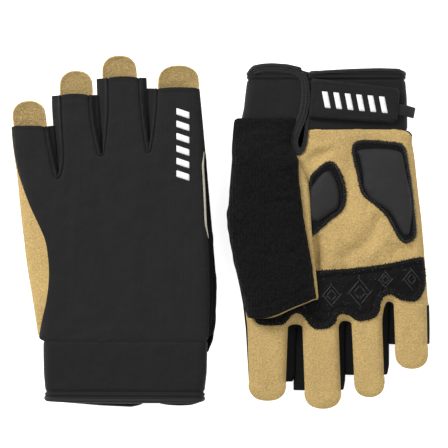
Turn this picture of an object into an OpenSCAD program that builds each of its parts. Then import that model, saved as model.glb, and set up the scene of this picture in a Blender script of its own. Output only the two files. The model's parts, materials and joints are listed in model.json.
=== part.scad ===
// Pair of fingerless sailing gloves, laid side by side.
// The left glove lies back up with its thumb folded under it, fingers to +Y.
// The right glove lies palm up with its thumb folded over it, fingers to -Y.
// Each glove is drawn in its own glove frame: origin at the middle of the wrist seam,
// +X to the thumb side, +Y to the fingers, +Z from the back layer to the palm layer.

/* [Pair] */
// Distance across, from the pair's middle to the left wrist-seam centre
left_x = 54.35; // [52:0.05:60]
// Distance along, from the pair's middle back to the left wrist-seam centre
left_y = 62; // [56:0.1:66]
// Distance across, from the pair's middle to the right wrist-seam centre
right_x = 58.15; // [56:0.05:64]
// Distance along, from the pair's middle to the right wrist-seam centre
right_y = 58; // [56:0.1:66]
// How far the left glove leans over on its folded thumb, in degrees
left_tilt = 4; // [2:0.5:5]

/* [Layers] */
// Thickness of the stretch fabric on the back of the hand
back_t = 1.4; // [1:0.1:1.6]
// Height of the space for the hand
pocket_h = 8; // [7:0.5:9]
// Thickness of the palm leather with its lining
palm_t = 1.6; // [1.2:0.1:1.8]
// Thickness of the sewn-on patches and pad borders
patch_t = 0.8; // [0.5:0.1:0.9]
// Thickness of the foam in the two palm pads
foam_t = 3; // [2:0.5:4]
// Thickness of the walls between the layers
wall_t = 1.2; // [1:0.1:1.5]

/* [Thumb] */
// Thickness of the thumb's leather front
thumb_leather_t = 1.4; // [1:0.1:1.6]
// Height of the space for the thumb
thumb_h = 6.6; // [6.2:0.1:8]
// Thickness of the knit on the thumb's back
knit_t = 1.8; // [1.4:0.1:2.2]

/* [Cuff] */
// Half of the cuff's width laid flat
cuff_half_w = 45.5; // [44:0.5:47]
// Length of the cuff below the wrist seam, without its binding
cuff_l = 31; // [29:0.5:34]
// Thickness of the cuff's fabric
cuff_t = 2; // [1.5:0.1:2.4]
// Width of the elastic binding round the cuff's mouth
binding_w = 3; // [2:0.5:4]

/* [Strap] */
// Length of the wrist strap from its sewn end
strap_l = 51; // [46:1:54]
// Width of the wrist strap
strap_w = 20; // [16:1:21]
// Thickness of the wrist strap
strap_t = 1.8; // [1.2:0.1:2.4]
// Slope of the strap across the cuff, in degrees
strap_slope = 5; // [0:1:6]

/* [Hidden] */
sides = ["left", "right"];
fingers = ["index", "middle", "ring", "little"];
hand_parts = [
    "hand_back", "palm_leather", "little_side_gusset", "thumb_side_gusset", "knuckle_patch",
    "thenar_pad_border", "thenar_pad_foam", "heel_pad_border", "heel_pad_foam", "cuff_band",
    "cuff_palm", "cuff_binding", "loop_patch", "wrist_strap", "hook_patch", "pull_tab",
    "thumb_knit", "thumb_leather"
];
finger_parts = ["back", "front", "fourchettes"];
NODES = [
    for (s = sides) each concat(
        [for (p = hand_parts) str(p, "_", s)],
        [for (f = fingers, p = finger_parts) str(f, "_", p, "_", s)])
];
node = "all";
$fn = 48;

black = [0.09, 0.09, 0.10];
jet = [0.05, 0.05, 0.055];
tan_leather = [0.72, 0.62, 0.42];
foam_grey = [0.22, 0.22, 0.23];

gap = 0.3;      // running gap between pieces that move past each other
seam = 0.1;     // hairline between pieces sewn edge to edge
palm_low = back_t + pocket_h;
palm_top = palm_low + palm_t;
patch_top = palm_top + patch_t;
thumb_low = patch_top + gap;
thumb_top = thumb_low + thumb_leather_t + thumb_h + knit_t;
cuff_inner_top = palm_top - cuff_t;
slit_x = [10.5, 15.5];          // the cuff is open between these, under the strap
slit_top = 15;                  // how far the slit runs up into the palm
loop_top = palm_top + patch_t;
strap_low = loop_top + gap + patch_t;
strap_hinge = [10.8, -17];      // middle of the strap's sewn end
thumb_hinge_x = [51.2, 55.9];   // fold line of the thumb, left and right glove
leather_shows = 1.2;            // how far the thumb's leather shows past its knit

// Each finger, little-finger side negative: centre at its root, half width of the tube,
// half width of its leather front, root, hem of the back, tip of the leather, lean in degrees
finger_table = [
    [[27.7, 15.0, 11.6, 104.5, 142.0, 154.8, 0],
     [-1.6, 12.9, 9.6, 103.5, 148.0, 160.5, -1],
     [-26.4, 11.6, 9.1, 97.5, 138.5, 152.0, -3.5],
     [-49.0, 10.7, 9.5, 91.0, 120.5, 135.2, -5.5]],
    [[31.8, 13.6, 10.9, 108.0, 141.0, 152.3, 0.8],
     [3.4, 13.7, 10.1, 107.0, 147.0, 156.5, -0.5],
     [-22.9, 11.8, 8.8, 101.0, 138.0, 150.3, -1.5],
     [-46.4, 11.1, 9.4, 96.0, 121.0, 134.3, -2.5]]
];

// Edges of the hand from the wrist to the finger roots, left and right glove
little_edge = [
    [[-48.5, 0.5], [-52, 25], [-55.5, 47], [-58, 70], [-59.9, 90.7]],
    [[-48.0, 0.5], [-51, 30], [-53.5, 52], [-55.5, 74], [-57.6, 95.7]]
];
thumb_edge = [
    [[45.5, 0.5], [47.2, 20], [47.5, 50], [45.2, 80], [42.8, 104.2]],
    [[47.0, 0.5], [49.5, 20], [50.5, 50], [48.5, 80], [45.5, 107.7]]
];
thumb_outer = [
    [[46.5, -5], [49.5, 8], [50.8, 33], [48.8, 57], [46.2, 84], [43.5, 102.5]],
    [[48.5, -5.5], [52, 10], [54.8, 40], [55.4, 54], [51, 77], [45.3, 105]]
];
thumb_inner = [
    [[17.5, -5], [15, 17], [12, 42], [8, 66], [4, 94]],
    [[17.5, -5.5], [15, 18], [12.5, 42], [9.2, 66], [5.5, 94.5]]
];
thumb_hem = [
    [[17, 97.5], [30, 101.8], [37.5, 103]],
    [[18.5, 99.5], [31.5, 104.3], [39, 105.6]]
];

thenar_outer = [
    [6.5, 24.8], [-1.5, 18.5], [-8.2, 24.5], [-11.3, 36.5], [-8.5, 46.8], [0, 53], [6.5, 57.5]
];
thenar_inner = [
    [5.8, 30.2], [-0.5, 24], [-5.6, 29], [-7.5, 38], [-5.6, 45.4], [0.5, 49.8], [5, 52.5]
];
heel_outer = [
    [-14.5, 10], [-18.5, 6.8], [-30, 7.2], [-42.5, 9.2], [-46.3, 20], [-49.4, 42],
    [-50.6, 56.5], [-46, 63.9], [-41, 61.5], [-35.5, 51.5], [-26.5, 42.5], [-19.6, 35.8], [-16.4, 21]
];
heel_inner = [
    [-18.5, 11.8], [-31.5, 11.4], [-41, 13.2], [-44.6, 24], [-47.6, 40], [-47.4, 56],
    [-44.2, 59.8], [-40.5, 54.5], [-34, 45.5], [-25, 39], [-21, 31], [-19.2, 19]
];
knuckle_outer = [
    [41, 84], [5.5, 79.6], [-13.5, 78], [-33.5, 75.6], [-53.5, 72.2], [-57.5, 73], [-60, 85],
    [-60, 112], [43, 112]
];

// ---- curves ----

// Catmull-Rom point between b and c
function cr(a, b, c, d, t) = 0.5 * (2 * b + (c - a) * t + (2 * a - 5 * b + 4 * c - d) * t * t
    + (3 * b - a - 3 * c + d) * t * t * t);

// Smooth open curve through the points p, with n steps between two of them
function curve(p, n = 4) = concat(
    [for (i = [0:len(p) - 2], k = [0:n - 1])
        cr(p[max(i - 1, 0)], p[i], p[i + 1], p[min(i + 2, len(p) - 1)], k / n)],
    [p[len(p) - 1]]);

// Smooth closed curve through the points p
function ring_curve(p, n = 3) = let (m = len(p))
    [for (i = [0:m - 1], k = [0:n - 1])
        cr(p[(i + m - 1) % m], p[i], p[(i + 1) % m], p[(i + 2) % m], k / n)];

function turned(p) = [for (i = [len(p) - 1:-1:0]) p[i]];
function moved(p, dx) = [for (q = p) [q[0] + dx, q[1]]];

// Points on an ellipse round c from angle a0 to a1
function arc(c, rx, ry, a0, a1, n = 8) =
    [for (i = [0:n]) let (a = a0 + (a1 - a0) * i / n) c + [rx * cos(a), ry * sin(a)]];

function row(g, f) = finger_table[g][f];
// Middle of finger f at height y
function mid(g, f, y) = row(g, f)[0] + (y - row(g, f)[3]) * tan(row(g, f)[6]);

// Where the hand ends at the finger roots, from the thumb side to the little finger
function root_line(g) = [for (f = [0:3]) each [
    [f == 0 ? thumb_edge[g][4][0] : (row(g, f)[0] + row(g, f)[1] + row(g, f - 1)[0] - row(g, f - 1)[1]) / 2,
        row(g, f)[3] - gap],
    [f == 3 ? little_edge[g][4][0] : (row(g, f)[0] - row(g, f)[1] + row(g, f + 1)[0] + row(g, f + 1)[1]) / 2,
        row(g, f)[3] - gap]]];

function hand_outline(g) = concat(
    curve(little_edge[g]), turned(root_line(g)), turned(curve(thumb_edge[g])));

// ---- helpers ----

module plate(z, t) { translate([0, 0, z]) linear_extrude(t) children(); }

// A wall that follows an edge, on the side that dx points to
module edge_wall(edge, dx) {
    plate(back_t + seam, pocket_h - 2 * seam)
        polygon(concat(curve(edge), turned(moved(curve(edge), dx))));
}

// Rounded bar from x0 to x1 and y0 to y1
module slab(x0, x1, y0, y1, r) {
    polygon(concat(
        arc([x1 - r, y1 - r], r, r, 0, 90, 5), arc([x0 + r, y1 - r], r, r, 90, 180, 5),
        arc([x0 + r, y0 + r], r, r, 180, 270, 5), arc([x1 - r, y0 + r], r, r, 270, 360, 5)));
}

// Puts a glove drawn in its glove frame into the pair
module place(g) {
    if (g == 0) {
        translate([-left_x, -left_y, lift_left]) rotate([0, -left_tilt, 0]) mirror([0, 0, 1]) children();
    } else {
        translate([right_x, right_y, 0]) rotate([0, 0, 180]) children();
    }
}
// The left glove's lowest point is the inner corner of its folded thumb
lift_left = thumb_top * cos(left_tilt) - thumb_inner[0][4][0] * sin(left_tilt);

// Bars of the strap's own frame: length to -X from its hinge, sloped over the cuff
module strap_frame() {
    translate([strap_hinge[0], strap_hinge[1], 0]) rotate([0, 0, -strap_slope]) children();
}

// ---- hand ----

module hand_back(g) {
    color(black) plate(0, back_t) polygon(hand_outline(g));
}

module palm_leather(g) {
    color(tan_leather) plate(palm_low, palm_t) difference() {
        polygon(hand_outline(g));
        slab(slit_x[0] - 0.5, slit_x[1] + 1.5, -10, slit_top, 3);
    }
}

module little_side_gusset(g) {
    color(tan_leather) edge_wall(little_edge[g], wall_t);
}

module thumb_side_gusset(g) {
    color(jet) edge_wall(thumb_edge[g], -wall_t);
}

module knuckle_patch(g) {
    color(jet) plate(palm_top, patch_t) intersection() {
        polygon(hand_outline(g));
        polygon(knuckle_outer);
    }
}

module thenar_pad_border(g) {
    color(jet) plate(palm_top, patch_t) polygon(curve(thenar_outer, 3));
}

module thenar_pad_foam(g) {
    color(foam_grey) plate(patch_top, foam_t) polygon(curve(thenar_inner, 3));
}

module heel_pad_border(g) {
    color(jet) plate(palm_top, patch_t) polygon(ring_curve(heel_outer, 2));
}

module heel_pad_foam(g) {
    color(foam_grey) plate(patch_top, foam_t) polygon(ring_curve(heel_inner, 2));
}

// ---- cuff ----

module cuff_band(g) {
    color(black) {
        plate(0, cuff_t) slab(-cuff_half_w, cuff_half_w, -cuff_l, 0.3, 0.2);
        for (s = [-1, 1])
            translate([s * (cuff_half_w - cuff_t / 2), 0, 0])
                plate(cuff_t + seam, cuff_inner_top - cuff_t - 2 * seam)
                    slab(-cuff_t / 2, cuff_t / 2, -cuff_l, 0.3, 0.2);
    }
}

module cuff_palm(g) {
    color(black) plate(cuff_inner_top, cuff_t) {
        slab(-cuff_half_w, slit_x[0], -cuff_l, 0.3, 0.2);
        slab(slit_x[1], cuff_half_w, -cuff_l, 0.3, 0.2);
    }
}

module cuff_binding(g) {
    low = -cuff_l - binding_w;
    high = -cuff_l - seam;
    color(jet) {
        plate(0, cuff_t) slab(-cuff_half_w, cuff_half_w, low, high, 0.3);
        plate(cuff_inner_top, cuff_t) {
            slab(-cuff_half_w, slit_x[0], low, high, 0.3);
            slab(slit_x[1], cuff_half_w, low, high, 0.3);
        }
        for (s = [-1, 1])
            translate([s * (cuff_half_w - cuff_t / 2), 0, 0])
                plate(cuff_t + seam, cuff_inner_top - cuff_t - 2 * seam)
                    slab(-cuff_t / 2, cuff_t / 2, low, high, 0.3);
        // the same tape turns up the slit and round its end in the palm
        plate(palm_top, patch_t / 2) difference() {
            slab(slit_x[0] - 3, slit_x[1] + 4, 1, slit_top + 2.5, 4);
            slab(slit_x[0] - 0.5, slit_x[1] + 1.5, -10, slit_top, 3);
        }
    }
}

// ---- strap ----

module loop_patch(g) {
    color(jet) plate(palm_top, patch_t)
        strap_frame() slab(-strap_l + 3, -8, -strap_w / 2 + 1, strap_w / 2 - 1, 2);
}

module hook_patch(g) {
    color(jet) plate(loop_top + gap, patch_t)
        strap_frame() slab(-strap_l + 2, -strap_l + 24, -strap_w / 2 + 1, strap_w / 2 - 1, 4);
}

module wrist_strap(g) {
    color(black) plate(strap_low, strap_t) strap_frame()
        polygon(concat(
            [[-0.3, strap_w / 2], [-strap_l + 8, strap_w / 2]],
            arc([-strap_l + 8, strap_w / 2 - 8], 8, 8, 90, 180, 5),
            arc([-strap_l + 8, -strap_w / 2 + 8], 8, 8, 180, 270, 5),
            [[-0.3, -strap_w / 2]]));
}

module pull_tab(g) {
    color(jet) plate(strap_low + 0.2, strap_t - 0.4) strap_frame()
        slab(-strap_l - 8, -strap_l - seam, -2, 5, 1);
}

// ---- thumb ----

module thumb_knit(g) {
    outline = concat(curve(thumb_outer[g]), turned(thumb_hem[g]), turned(curve(thumb_inner[g])));
    wall_h = thumb_h - 2 * seam;
    color(jet) {
        plate(thumb_top - knit_t, knit_t) polygon(outline);
        plate(thumb_low + thumb_leather_t + seam, wall_h)
            polygon(concat(curve(thumb_outer[g]), turned(moved(curve(thumb_outer[g]), -wall_t))));
        plate(thumb_low + thumb_leather_t + seam, wall_h)
            polygon(concat(curve(thumb_inner[g]), turned(moved(curve(thumb_inner[g]), wall_t))));
    }
}

module thumb_leather(g) {
    color(tan_leather) plate(thumb_low, thumb_leather_t)
        polygon(concat(curve(thumb_outer[g]), turned(thumb_hem[g]),
            turned(moved(curve(thumb_inner[g]), -leather_shows))));
}

// ---- fingers ----

module finger_back(g, f) {
    w = row(g, f)[1];
    y0 = row(g, f)[3];
    y1 = row(g, f)[4];
    color(black) plate(0, back_t) polygon([
        [mid(g, f, y0) - w, y0], [mid(g, f, y0) + w, y0],
        [mid(g, f, y1) + w, y1 - 1], [mid(g, f, y1) + w - 1, y1],
        [mid(g, f, y1) - w + 1, y1], [mid(g, f, y1) - w, y1 - 1]]);
}

module finger_front(g, f) {
    w = row(g, f)[2];
    y0 = row(g, f)[3];
    y1 = row(g, f)[5];
    color(tan_leather) plate(palm_low, palm_t) polygon(concat(
        [[mid(g, f, y0) - w, y0], [mid(g, f, y0) + w, y0]],
        arc([mid(g, f, y1), y1 - 0.8 * w], w, 0.8 * w, 0, 180, 12)));
}

module finger_fourchettes(g, f) {
    w = row(g, f)[2];
    y0 = row(g, f)[3];
    y1 = row(g, f)[4] - 2;
    color(jet) plate(back_t + seam, pocket_h - 2 * seam)
        for (s = [-1, 1]) polygon([
            [mid(g, f, y0) + s * w, y0], [mid(g, f, y0) + s * (w - wall_t), y0],
            [mid(g, f, y1) + s * (w - wall_t), y1], [mid(g, f, y1) + s * w, y1]]);
}

// ---- what is drawn ----

// True when the piece of glove g is wanted
function on(piece, g) = node == "all" || node == str(piece, "_", sides[g]);

for (g = [0, 1]) {
    if (on("hand_back", g)) place(g) hand_back(g);
    if (on("palm_leather", g)) place(g) palm_leather(g);
    if (on("little_side_gusset", g)) place(g) little_side_gusset(g);
    if (on("thumb_side_gusset", g)) place(g) thumb_side_gusset(g);
    if (on("knuckle_patch", g)) place(g) knuckle_patch(g);
    if (on("thenar_pad_border", g)) place(g) thenar_pad_border(g);
    if (on("thenar_pad_foam", g)) place(g) thenar_pad_foam(g);
    if (on("heel_pad_border", g)) place(g) heel_pad_border(g);
    if (on("heel_pad_foam", g)) place(g) heel_pad_foam(g);
    if (on("cuff_band", g)) place(g) cuff_band(g);
    if (on("cuff_palm", g)) place(g) cuff_palm(g);
    if (on("cuff_binding", g)) place(g) cuff_binding(g);
    if (on("loop_patch", g)) place(g) loop_patch(g);
    if (on("wrist_strap", g)) place(g) wrist_strap(g);
    if (on("hook_patch", g)) place(g) hook_patch(g);
    if (on("pull_tab", g)) place(g) pull_tab(g);
    if (on("thumb_knit", g)) place(g) thumb_knit(g);
    if (on("thumb_leather", g)) place(g) thumb_leather(g);
    for (f = [0:3]) {
        if (on(str(fingers[f], "_back"), g)) place(g) finger_back(g, f);
        if (on(str(fingers[f], "_front"), g)) place(g) finger_front(g, f);
        if (on(str(fingers[f], "_fourchettes"), g)) place(g) finger_fourchettes(g, f);
    }
}
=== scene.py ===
"""Looks of the pair of fingerless sailing gloves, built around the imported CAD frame.

Shapes are drawn in a glove frame in millimetres: origin at the middle of the wrist seam, +x to the
thumb side, +y to the fingers, +z from the back of the hand to the palm. Glove.to_row puts them in the
row frame in metres. The left glove lies back up and is a mirror image; the right one lies palm up.
"""
import json
import math

import bpy
import numpy as np
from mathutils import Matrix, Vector, noise
from mathutils.geometry import delaunay_2d_cdt


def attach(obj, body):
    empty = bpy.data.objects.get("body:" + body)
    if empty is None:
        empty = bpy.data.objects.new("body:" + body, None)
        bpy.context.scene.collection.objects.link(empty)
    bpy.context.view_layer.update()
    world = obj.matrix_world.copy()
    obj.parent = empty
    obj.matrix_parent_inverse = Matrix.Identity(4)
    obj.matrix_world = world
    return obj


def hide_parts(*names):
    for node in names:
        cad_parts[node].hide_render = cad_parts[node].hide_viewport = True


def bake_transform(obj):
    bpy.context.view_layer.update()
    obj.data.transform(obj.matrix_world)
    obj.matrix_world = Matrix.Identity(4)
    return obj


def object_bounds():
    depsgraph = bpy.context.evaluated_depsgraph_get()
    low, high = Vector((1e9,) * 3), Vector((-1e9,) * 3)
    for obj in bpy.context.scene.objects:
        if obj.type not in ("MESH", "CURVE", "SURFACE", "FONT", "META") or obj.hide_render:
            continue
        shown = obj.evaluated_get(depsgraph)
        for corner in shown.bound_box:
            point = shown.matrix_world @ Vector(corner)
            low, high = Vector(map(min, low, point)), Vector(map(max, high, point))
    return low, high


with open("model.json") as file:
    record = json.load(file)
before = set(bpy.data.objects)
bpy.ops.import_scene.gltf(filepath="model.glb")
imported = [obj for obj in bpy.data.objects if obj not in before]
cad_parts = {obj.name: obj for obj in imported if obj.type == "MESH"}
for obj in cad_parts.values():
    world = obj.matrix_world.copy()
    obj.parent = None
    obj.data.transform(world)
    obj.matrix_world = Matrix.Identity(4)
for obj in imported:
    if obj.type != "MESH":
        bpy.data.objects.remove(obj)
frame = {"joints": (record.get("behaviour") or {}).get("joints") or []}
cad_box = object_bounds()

MM = 0.001
PALM_LEVEL = 11.0        # outer face of the palm leather
CUFF_LENGTH = 31.0       # wrist seam to binding
STRAP_SLOPE = math.radians(5)
STRAP_HINGE = (10.8, -17.0)
STRAP_START = 2.0        # from the hinge to the strap's sewn end
STRAP_END = 51.6         # from the hinge to its free end
STRAP_ROOT_HALF = 11.0   # half its width at the sewn end
STRAP_END_HALF = 9.9     # half its width at the free end
STRAP_TOP = 1.9          # its face above its underside
# thicknesses of the fabrics
LEATHER = 1.3
STRETCH = 1.1
GAP_WALL = 0.9
WEB = 0.8
KNIT = 1.6
NEOPRENE = 1.8
FINGERS = ("index", "middle", "ring", "little")

# Per finger, for its little side and its thumb side: x of the leather front at the split and at the tip,
# and x of the back at the split, half way and at the hem. Then y of the split, the hem and the tip.
LEFT_FINGERS = {
    "index": dict(front=((15.5, 18.3), (43.0, 40.6)), back=((15.2, 17.6, 18.5), (43.9, 42.9, 41.7)),
                  split=108.5, hem=141.3, tip=154.8),
    "middle": dict(front=((-12.9, -13.2), (9.1, 5.6)), back=((-11.0, -9.0, -9.3), (12.0, 9.3, 8.0)),
                   split=108.5, hem=147.3, tip=160.5),
    "ring": dict(front=((-36.0, -37.2), (-18.0, -19.2)), back=((-33.8, -34.8, -35.5), (-15.2, -18.5, -20.0)),
                 split=106.0, hem=137.8, tip=152.0),
    "little": dict(front=((-60.2, -64.0), (-41.5, -45.6)),
                   back=((-59.8, -62.4, -63.8), (-39.5, -42.5, -44.8)),
                   split=94.0, hem=120.3, tip=135.2),
}
RIGHT_FINGERS = {
    "index": dict(front=((21.2, 22.4), (43.9, 43.0)), back=((18.5, 19.5, 20.0), (42.8, 42.2, 41.6)),
                  split=112.0, hem=142.0, tip=152.8),
    "middle": dict(front=((-7.3, -8.6), (13.0, 11.6)), back=((-8.5, -8.5, -9.0), (15.0, 15.0, 14.5)),
                   split=112.0, hem=146.8, tip=157.2),
    "ring": dict(front=((-31.8, -32.9), (-14.6, -16.2)), back=((-32.5, -33.0, -33.5), (-12.5, -13.0, -13.5)),
                 split=110.0, hem=138.2, tip=150.7),
    "little": dict(front=((-56.8, -57.3), (-38.3, -39.3)),
                   back=((-57.9, -58.5, -58.6), (-36.8, -37.0, -37.3)),
                   split=99.5, hem=121.0, tip=134.8),
}
# Outlines that differ between the gloves, from the wrist to the fingers or from the little finger to the
# thumb. crotches are the ends of the gaps between the fingers, gap_ends their x 40 mm further on, and
# taper how much the two fourchettes of a gap narrow towards their hems.
SIDES = {
    "left": dict(
        fingers=LEFT_FINGERS,
        crotches=((13.0, 105.8), (-13.0, 104.0), (-37.5, 91.5)),
        gap_ends=(11.6, -15.8, -41.0),
        taper=(0.0, 0.0),
        front_thumb=((45.2, 4.5), (47.2, 20), (47.6, 50), (45.6, 80), (43.0, 108.5)),
        front_little=((-49.2, 4.5), (-52.5, 25), (-55.5, 43), (-57.5, 60), (-59.2, 78), (-60.2, 94)),
        back_thumb=((46.9, 4.5), (47.4, 20), (47.2, 45), (46.4, 60), (45.3, 85), (43.9, 108.5)),
        back_little=((-48.2, 4.5), (-46.3, 13), (-44.0, 22.5), (-42.5, 33.5), (-42.5, 43.5), (-44.0, 55.5),
                     (-47.0, 63.5), (-52.0, 74), (-56.2, 84), (-59.8, 94)),
        thumb_outer=((46.0, -5), (49.3, 6), (50.5, 33), (48.5, 57), (46.0, 84), (44.4, 106)),
        thumb_inner=((17.5, -5), (15.0, 17), (12.0, 42), (8.0, 66), (4.0, 94)),
        thumb_hem=((44.4, 106), (37, 104.6), (30, 102.6), (17, 98.4), (4.0, 94)),
        thumb_strip=((15.6, 8), (14.0, 18), (10.5, 32), (8.0, 50), (5.2, 72), (2.4, 94), (1.6, 95.2)),
        cuff_thumb=((-34, 43.4), (-27.5, 44.4), (-16.5, 45.5), (-2.5, 46.0), (0, 46.0)),
        mouth_front=((-45, -30.5), (-43, -32.0), (-29, -33.0), (-14, -34.2), (3, -34.9), (8, -33.7),
                     (11, -31.7), (40, -31.7), (43.6, -30.8)),
        mouth_back=((-45.5, -29.5), (-44, -31.4), (-30, -32.0), (0, -32.2), (40, -31.9), (44.5, -31.3),
                    (47, -29.5)),
    ),
    "right": dict(
        fingers=RIGHT_FINGERS,
        crotches=((16.8, 110.0), (-10.5, 108.0), (-35.2, 97.2)),
        gap_ends=(17.6, -10.8, -35.4),
        taper=(0.4, 0.0),
        front_thumb=((46.8, 4.5), (48.0, 20), (49.0, 50), (47.2, 80), (43.9, 112)),
        front_little=((-48.1, 6.8), (-49.9, 16.5), (-51.8, 34.5), (-53.8, 51.5), (-55.3, 70),
                      (-56.4, 88), (-56.8, 99.5)),
        back_thumb=((47.2, 4.5), (48.5, 20), (49.0, 50), (46.8, 80), (42.8, 112)),
        back_little=((-48.9, 4.5), (-45.4, 13), (-42.2, 22.5), (-40.5, 33.5), (-40.5, 43.5), (-42.0, 55.5),
                     (-45.0, 65), (-50.0, 76), (-54.0, 86), (-57.5, 99.5)),
        thumb_outer=((49.4, -5.6), (51.3, -4.2), (51.9, 0.0), (52.4, 7.5), (53.2, 26.5), (54.5, 41.5),
                     (55.4, 52), (52.7, 69.5), (50.0, 81.5), (46.8, 94.5), (43.9, 106)),
        thumb_inner=((16.6, -5.5), (18.6, 0.4), (19.7, 5.4), (19.2, 10.4), (17.0, 14.6), (15.2, 18.5),
                     (15.2, 25), (14.2, 36.5), (11.4, 56.5), (9.7, 66.5), (7.8, 76.5), (5.4, 95)),
        thumb_hem=((43.9, 106), (38.5, 106), (31.5, 105), (24.5, 102.2), (18.5, 99.6), (5.4, 94.4)),
        thumb_strip=((20.6, 9), (16.2, 17.5), (11.4, 26), (9.2, 36.5), (8.0, 56.5), (6.5, 71.5),
                     (4.4, 92.5), (4.0, 95.9)),
        cuff_thumb=((-34, 43.4), (-28.8, 44.1), (-13.2, 45.8), (-5.5, 47.5), (0, 47.8)),
        mouth_front=((-45, -29.5), (-43.5, -31.0), (-40.8, -32.2), (-30, -32.5), (-15, -32.1), (0, -31.3),
                     (8.9, -30.1), (11.2, -30.4), (14.8, -33.2), (21.6, -34.7), (30.3, -35.3), (35.3, -35.0),
                     (40.3, -34.1), (42.3, -32.4), (43.6, -29.5)),
        mouth_back=((-45.5, -29.5), (-44, -31.0), (-40.8, -32.0), (-30, -32.2), (-15, -31.7), (0, -30.8),
                    (8.9, -30.0), (14, -32.2), (21.6, -34.0), (30.3, -34.8), (35.3, -34.6), (40.3, -33.6),
                    (43, -31.6), (45, -29.5)),
    ),
}


# ---- curves and surfaces ----

def catmull(marks, steps):
    """A list of points on a Catmull-Rom curve through marks, which are points or whole rows of points."""
    q = [2 * marks[0] - marks[1], *marks, 2 * marks[-1] - marks[-2]]
    curve = [0.5 * (2 * b + (c - a) * t + (2 * a - 5 * b + 4 * c - d) * t**2
                    + (3 * b - a - 3 * c + d) * t**3)
             for a, b, c, d in zip(q, q[1:], q[2:], q[3:]) for t in np.arange(steps) / steps]
    return [*curve, marks[-1]]


def smooth(points, per_span=8):
    """A Catmull-Rom curve through the points."""
    return np.array(catmull(np.array(points, float), per_span))


def smooth_loop(points, per_span=8):
    """A closed Catmull-Rom curve, its first point not repeated."""
    p = [tuple(x) for x in points]
    curve = smooth([p[-1], *p, p[0], p[1]], per_span)
    return curve[per_span:-per_span - 1]


def spaced(curve, count):
    """count + 1 points at equal steps along a curve."""
    curve = np.array(curve, float)
    d = np.r_[0, np.cumsum(np.linalg.norm(np.diff(curve, axis=0), axis=1))]
    t = np.linspace(0, d[-1], count + 1)
    return np.column_stack([np.interp(t, d, curve[:, k]) for k in range(curve.shape[1])])


def closed(loop):
    """A loop with its first point repeated at the end."""
    return np.vstack([loop, loop[:1]])


def length_of(curve):
    """A curve's length, from point to point."""
    return np.linalg.norm(np.diff(curve, axis=0), axis=1).sum()


def upright(path):
    """Normals that point straight out of the palm, one for each point of a path."""
    return np.tile((0, 0, 1.0), (len(path), 1))


def unit(v):
    """Vectors at length 1."""
    return v / np.maximum(np.linalg.norm(v, axis=-1, keepdims=True), 1e-9)


def dome(s):
    """Round shoulder: 0 at an edge, 1 from s = 1 on, upright where it leaves the edge."""
    return np.sqrt(np.clip(1 - (1 - np.clip(s, 0, 1)) ** 2, 0, 1))


def inside(points, loop):
    """Which points lie inside a closed loop."""
    x, y = points[:, :1], points[:, 1:2]
    a, b = loop, np.roll(loop, -1, axis=0)
    crosses = (a[:, 1] > y) != (b[:, 1] > y)
    rise = np.where(b[:, 1] == a[:, 1], 1e-12, b[:, 1] - a[:, 1])
    at = a[:, 0] + (y - a[:, 1]) * (b[:, 0] - a[:, 0]) / rise
    return (crosses & (x < at)).sum(1) % 2 == 1


def nearest(points, samples):
    """Distance from each point to the nearest sample, and that sample's index."""
    best, index = np.full(len(points), 1e9), np.zeros(len(points), int)
    for start in range(0, len(samples), 256):
        part = samples[start:start + 256]
        d = np.linalg.norm(points[:, None, :] - part[None, :, :], axis=2)
        i = d.argmin(1)
        closer = d[np.arange(len(points)), i] < best
        best[closer], index[closer] = d[np.arange(len(points)), i][closer], i[closer] + start
    return best, index


def bumps(points, scale, seed):
    """Smooth noise from -1 to 1 at the points, with features about scale mm wide."""
    return np.array([noise.noise(Vector((p[0] / scale, p[1] / scale, seed))) for p in points])


def crease(points, a, b, width, depth):
    """A fold line from a to b that fades towards its ends: negative depth is a groove."""
    a, b = np.array(a, float), np.array(b, float)
    t = np.clip((points - a) @ (b - a) / ((b - a) @ (b - a)), 0, 1)
    d = np.linalg.norm(points - (a + t[:, None] * (b - a)), axis=1)
    return depth * np.exp(-(d / width) ** 2) * np.sqrt(np.clip(4 * t * (1 - t), 0, 1))


def fill(loop, lines=(), step=1.7):
    """Triangulates a closed 2D loop on an even grid, keeping the loop's edges and the given lines."""
    loop = np.array(loop, float)
    low, high = loop.min(0), loop.max(0)
    rows = np.arange(low[1] + step / 2, high[1], step * 0.866)
    grid = np.array([(x, y) for k, y in enumerate(rows)
                     for x in np.arange(low[0] + step * (0.25 + 0.5 * (k % 2)), high[0], step)])
    fixed = np.vstack([loop, *[np.array(line) for line in lines]])
    if len(grid):
        grid = grid[inside(grid, loop)]
        grid = grid[nearest(grid, fixed)[0] > 0.62 * step]
    edges = [(i, (i + 1) % len(loop)) for i in range(len(loop))]
    start = len(loop)
    for line in lines:
        edges += [(start + i, start + i + 1) for i in range(len(line) - 1)]
        start += len(line)
    points = [Vector(p) for p in np.vstack([fixed, grid])]
    verts, _, faces, *_ = delaunay_2d_cdt(points, edges, [], 1, 1e-4)
    return np.array([tuple(v) for v in verts]), [tuple(f) for f in faces]


def vertex_normals(verts, faces):
    """Each vertex's normal, from the faces round it in proportion to their areas."""
    n = np.zeros_like(verts)
    for f in faces:
        a = verts[f[0]]
        for i in range(1, len(f) - 1):
            c = np.cross(verts[f[i]] - a, verts[f[i + 1]] - a)
            n[list(f)] += c
    return unit(n)


def take(verts, faces, normals, keep):
    """The faces that keep is true for, with the vertices that they use."""
    chosen = [f for f, k in zip(faces, keep) if k]
    used = sorted({i for f in chosen for i in f})
    new = {old: i for i, old in enumerate(used)}
    return verts[used], [tuple(new[i] for i in f) for f in chosen], normals[used], np.array(used)


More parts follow.
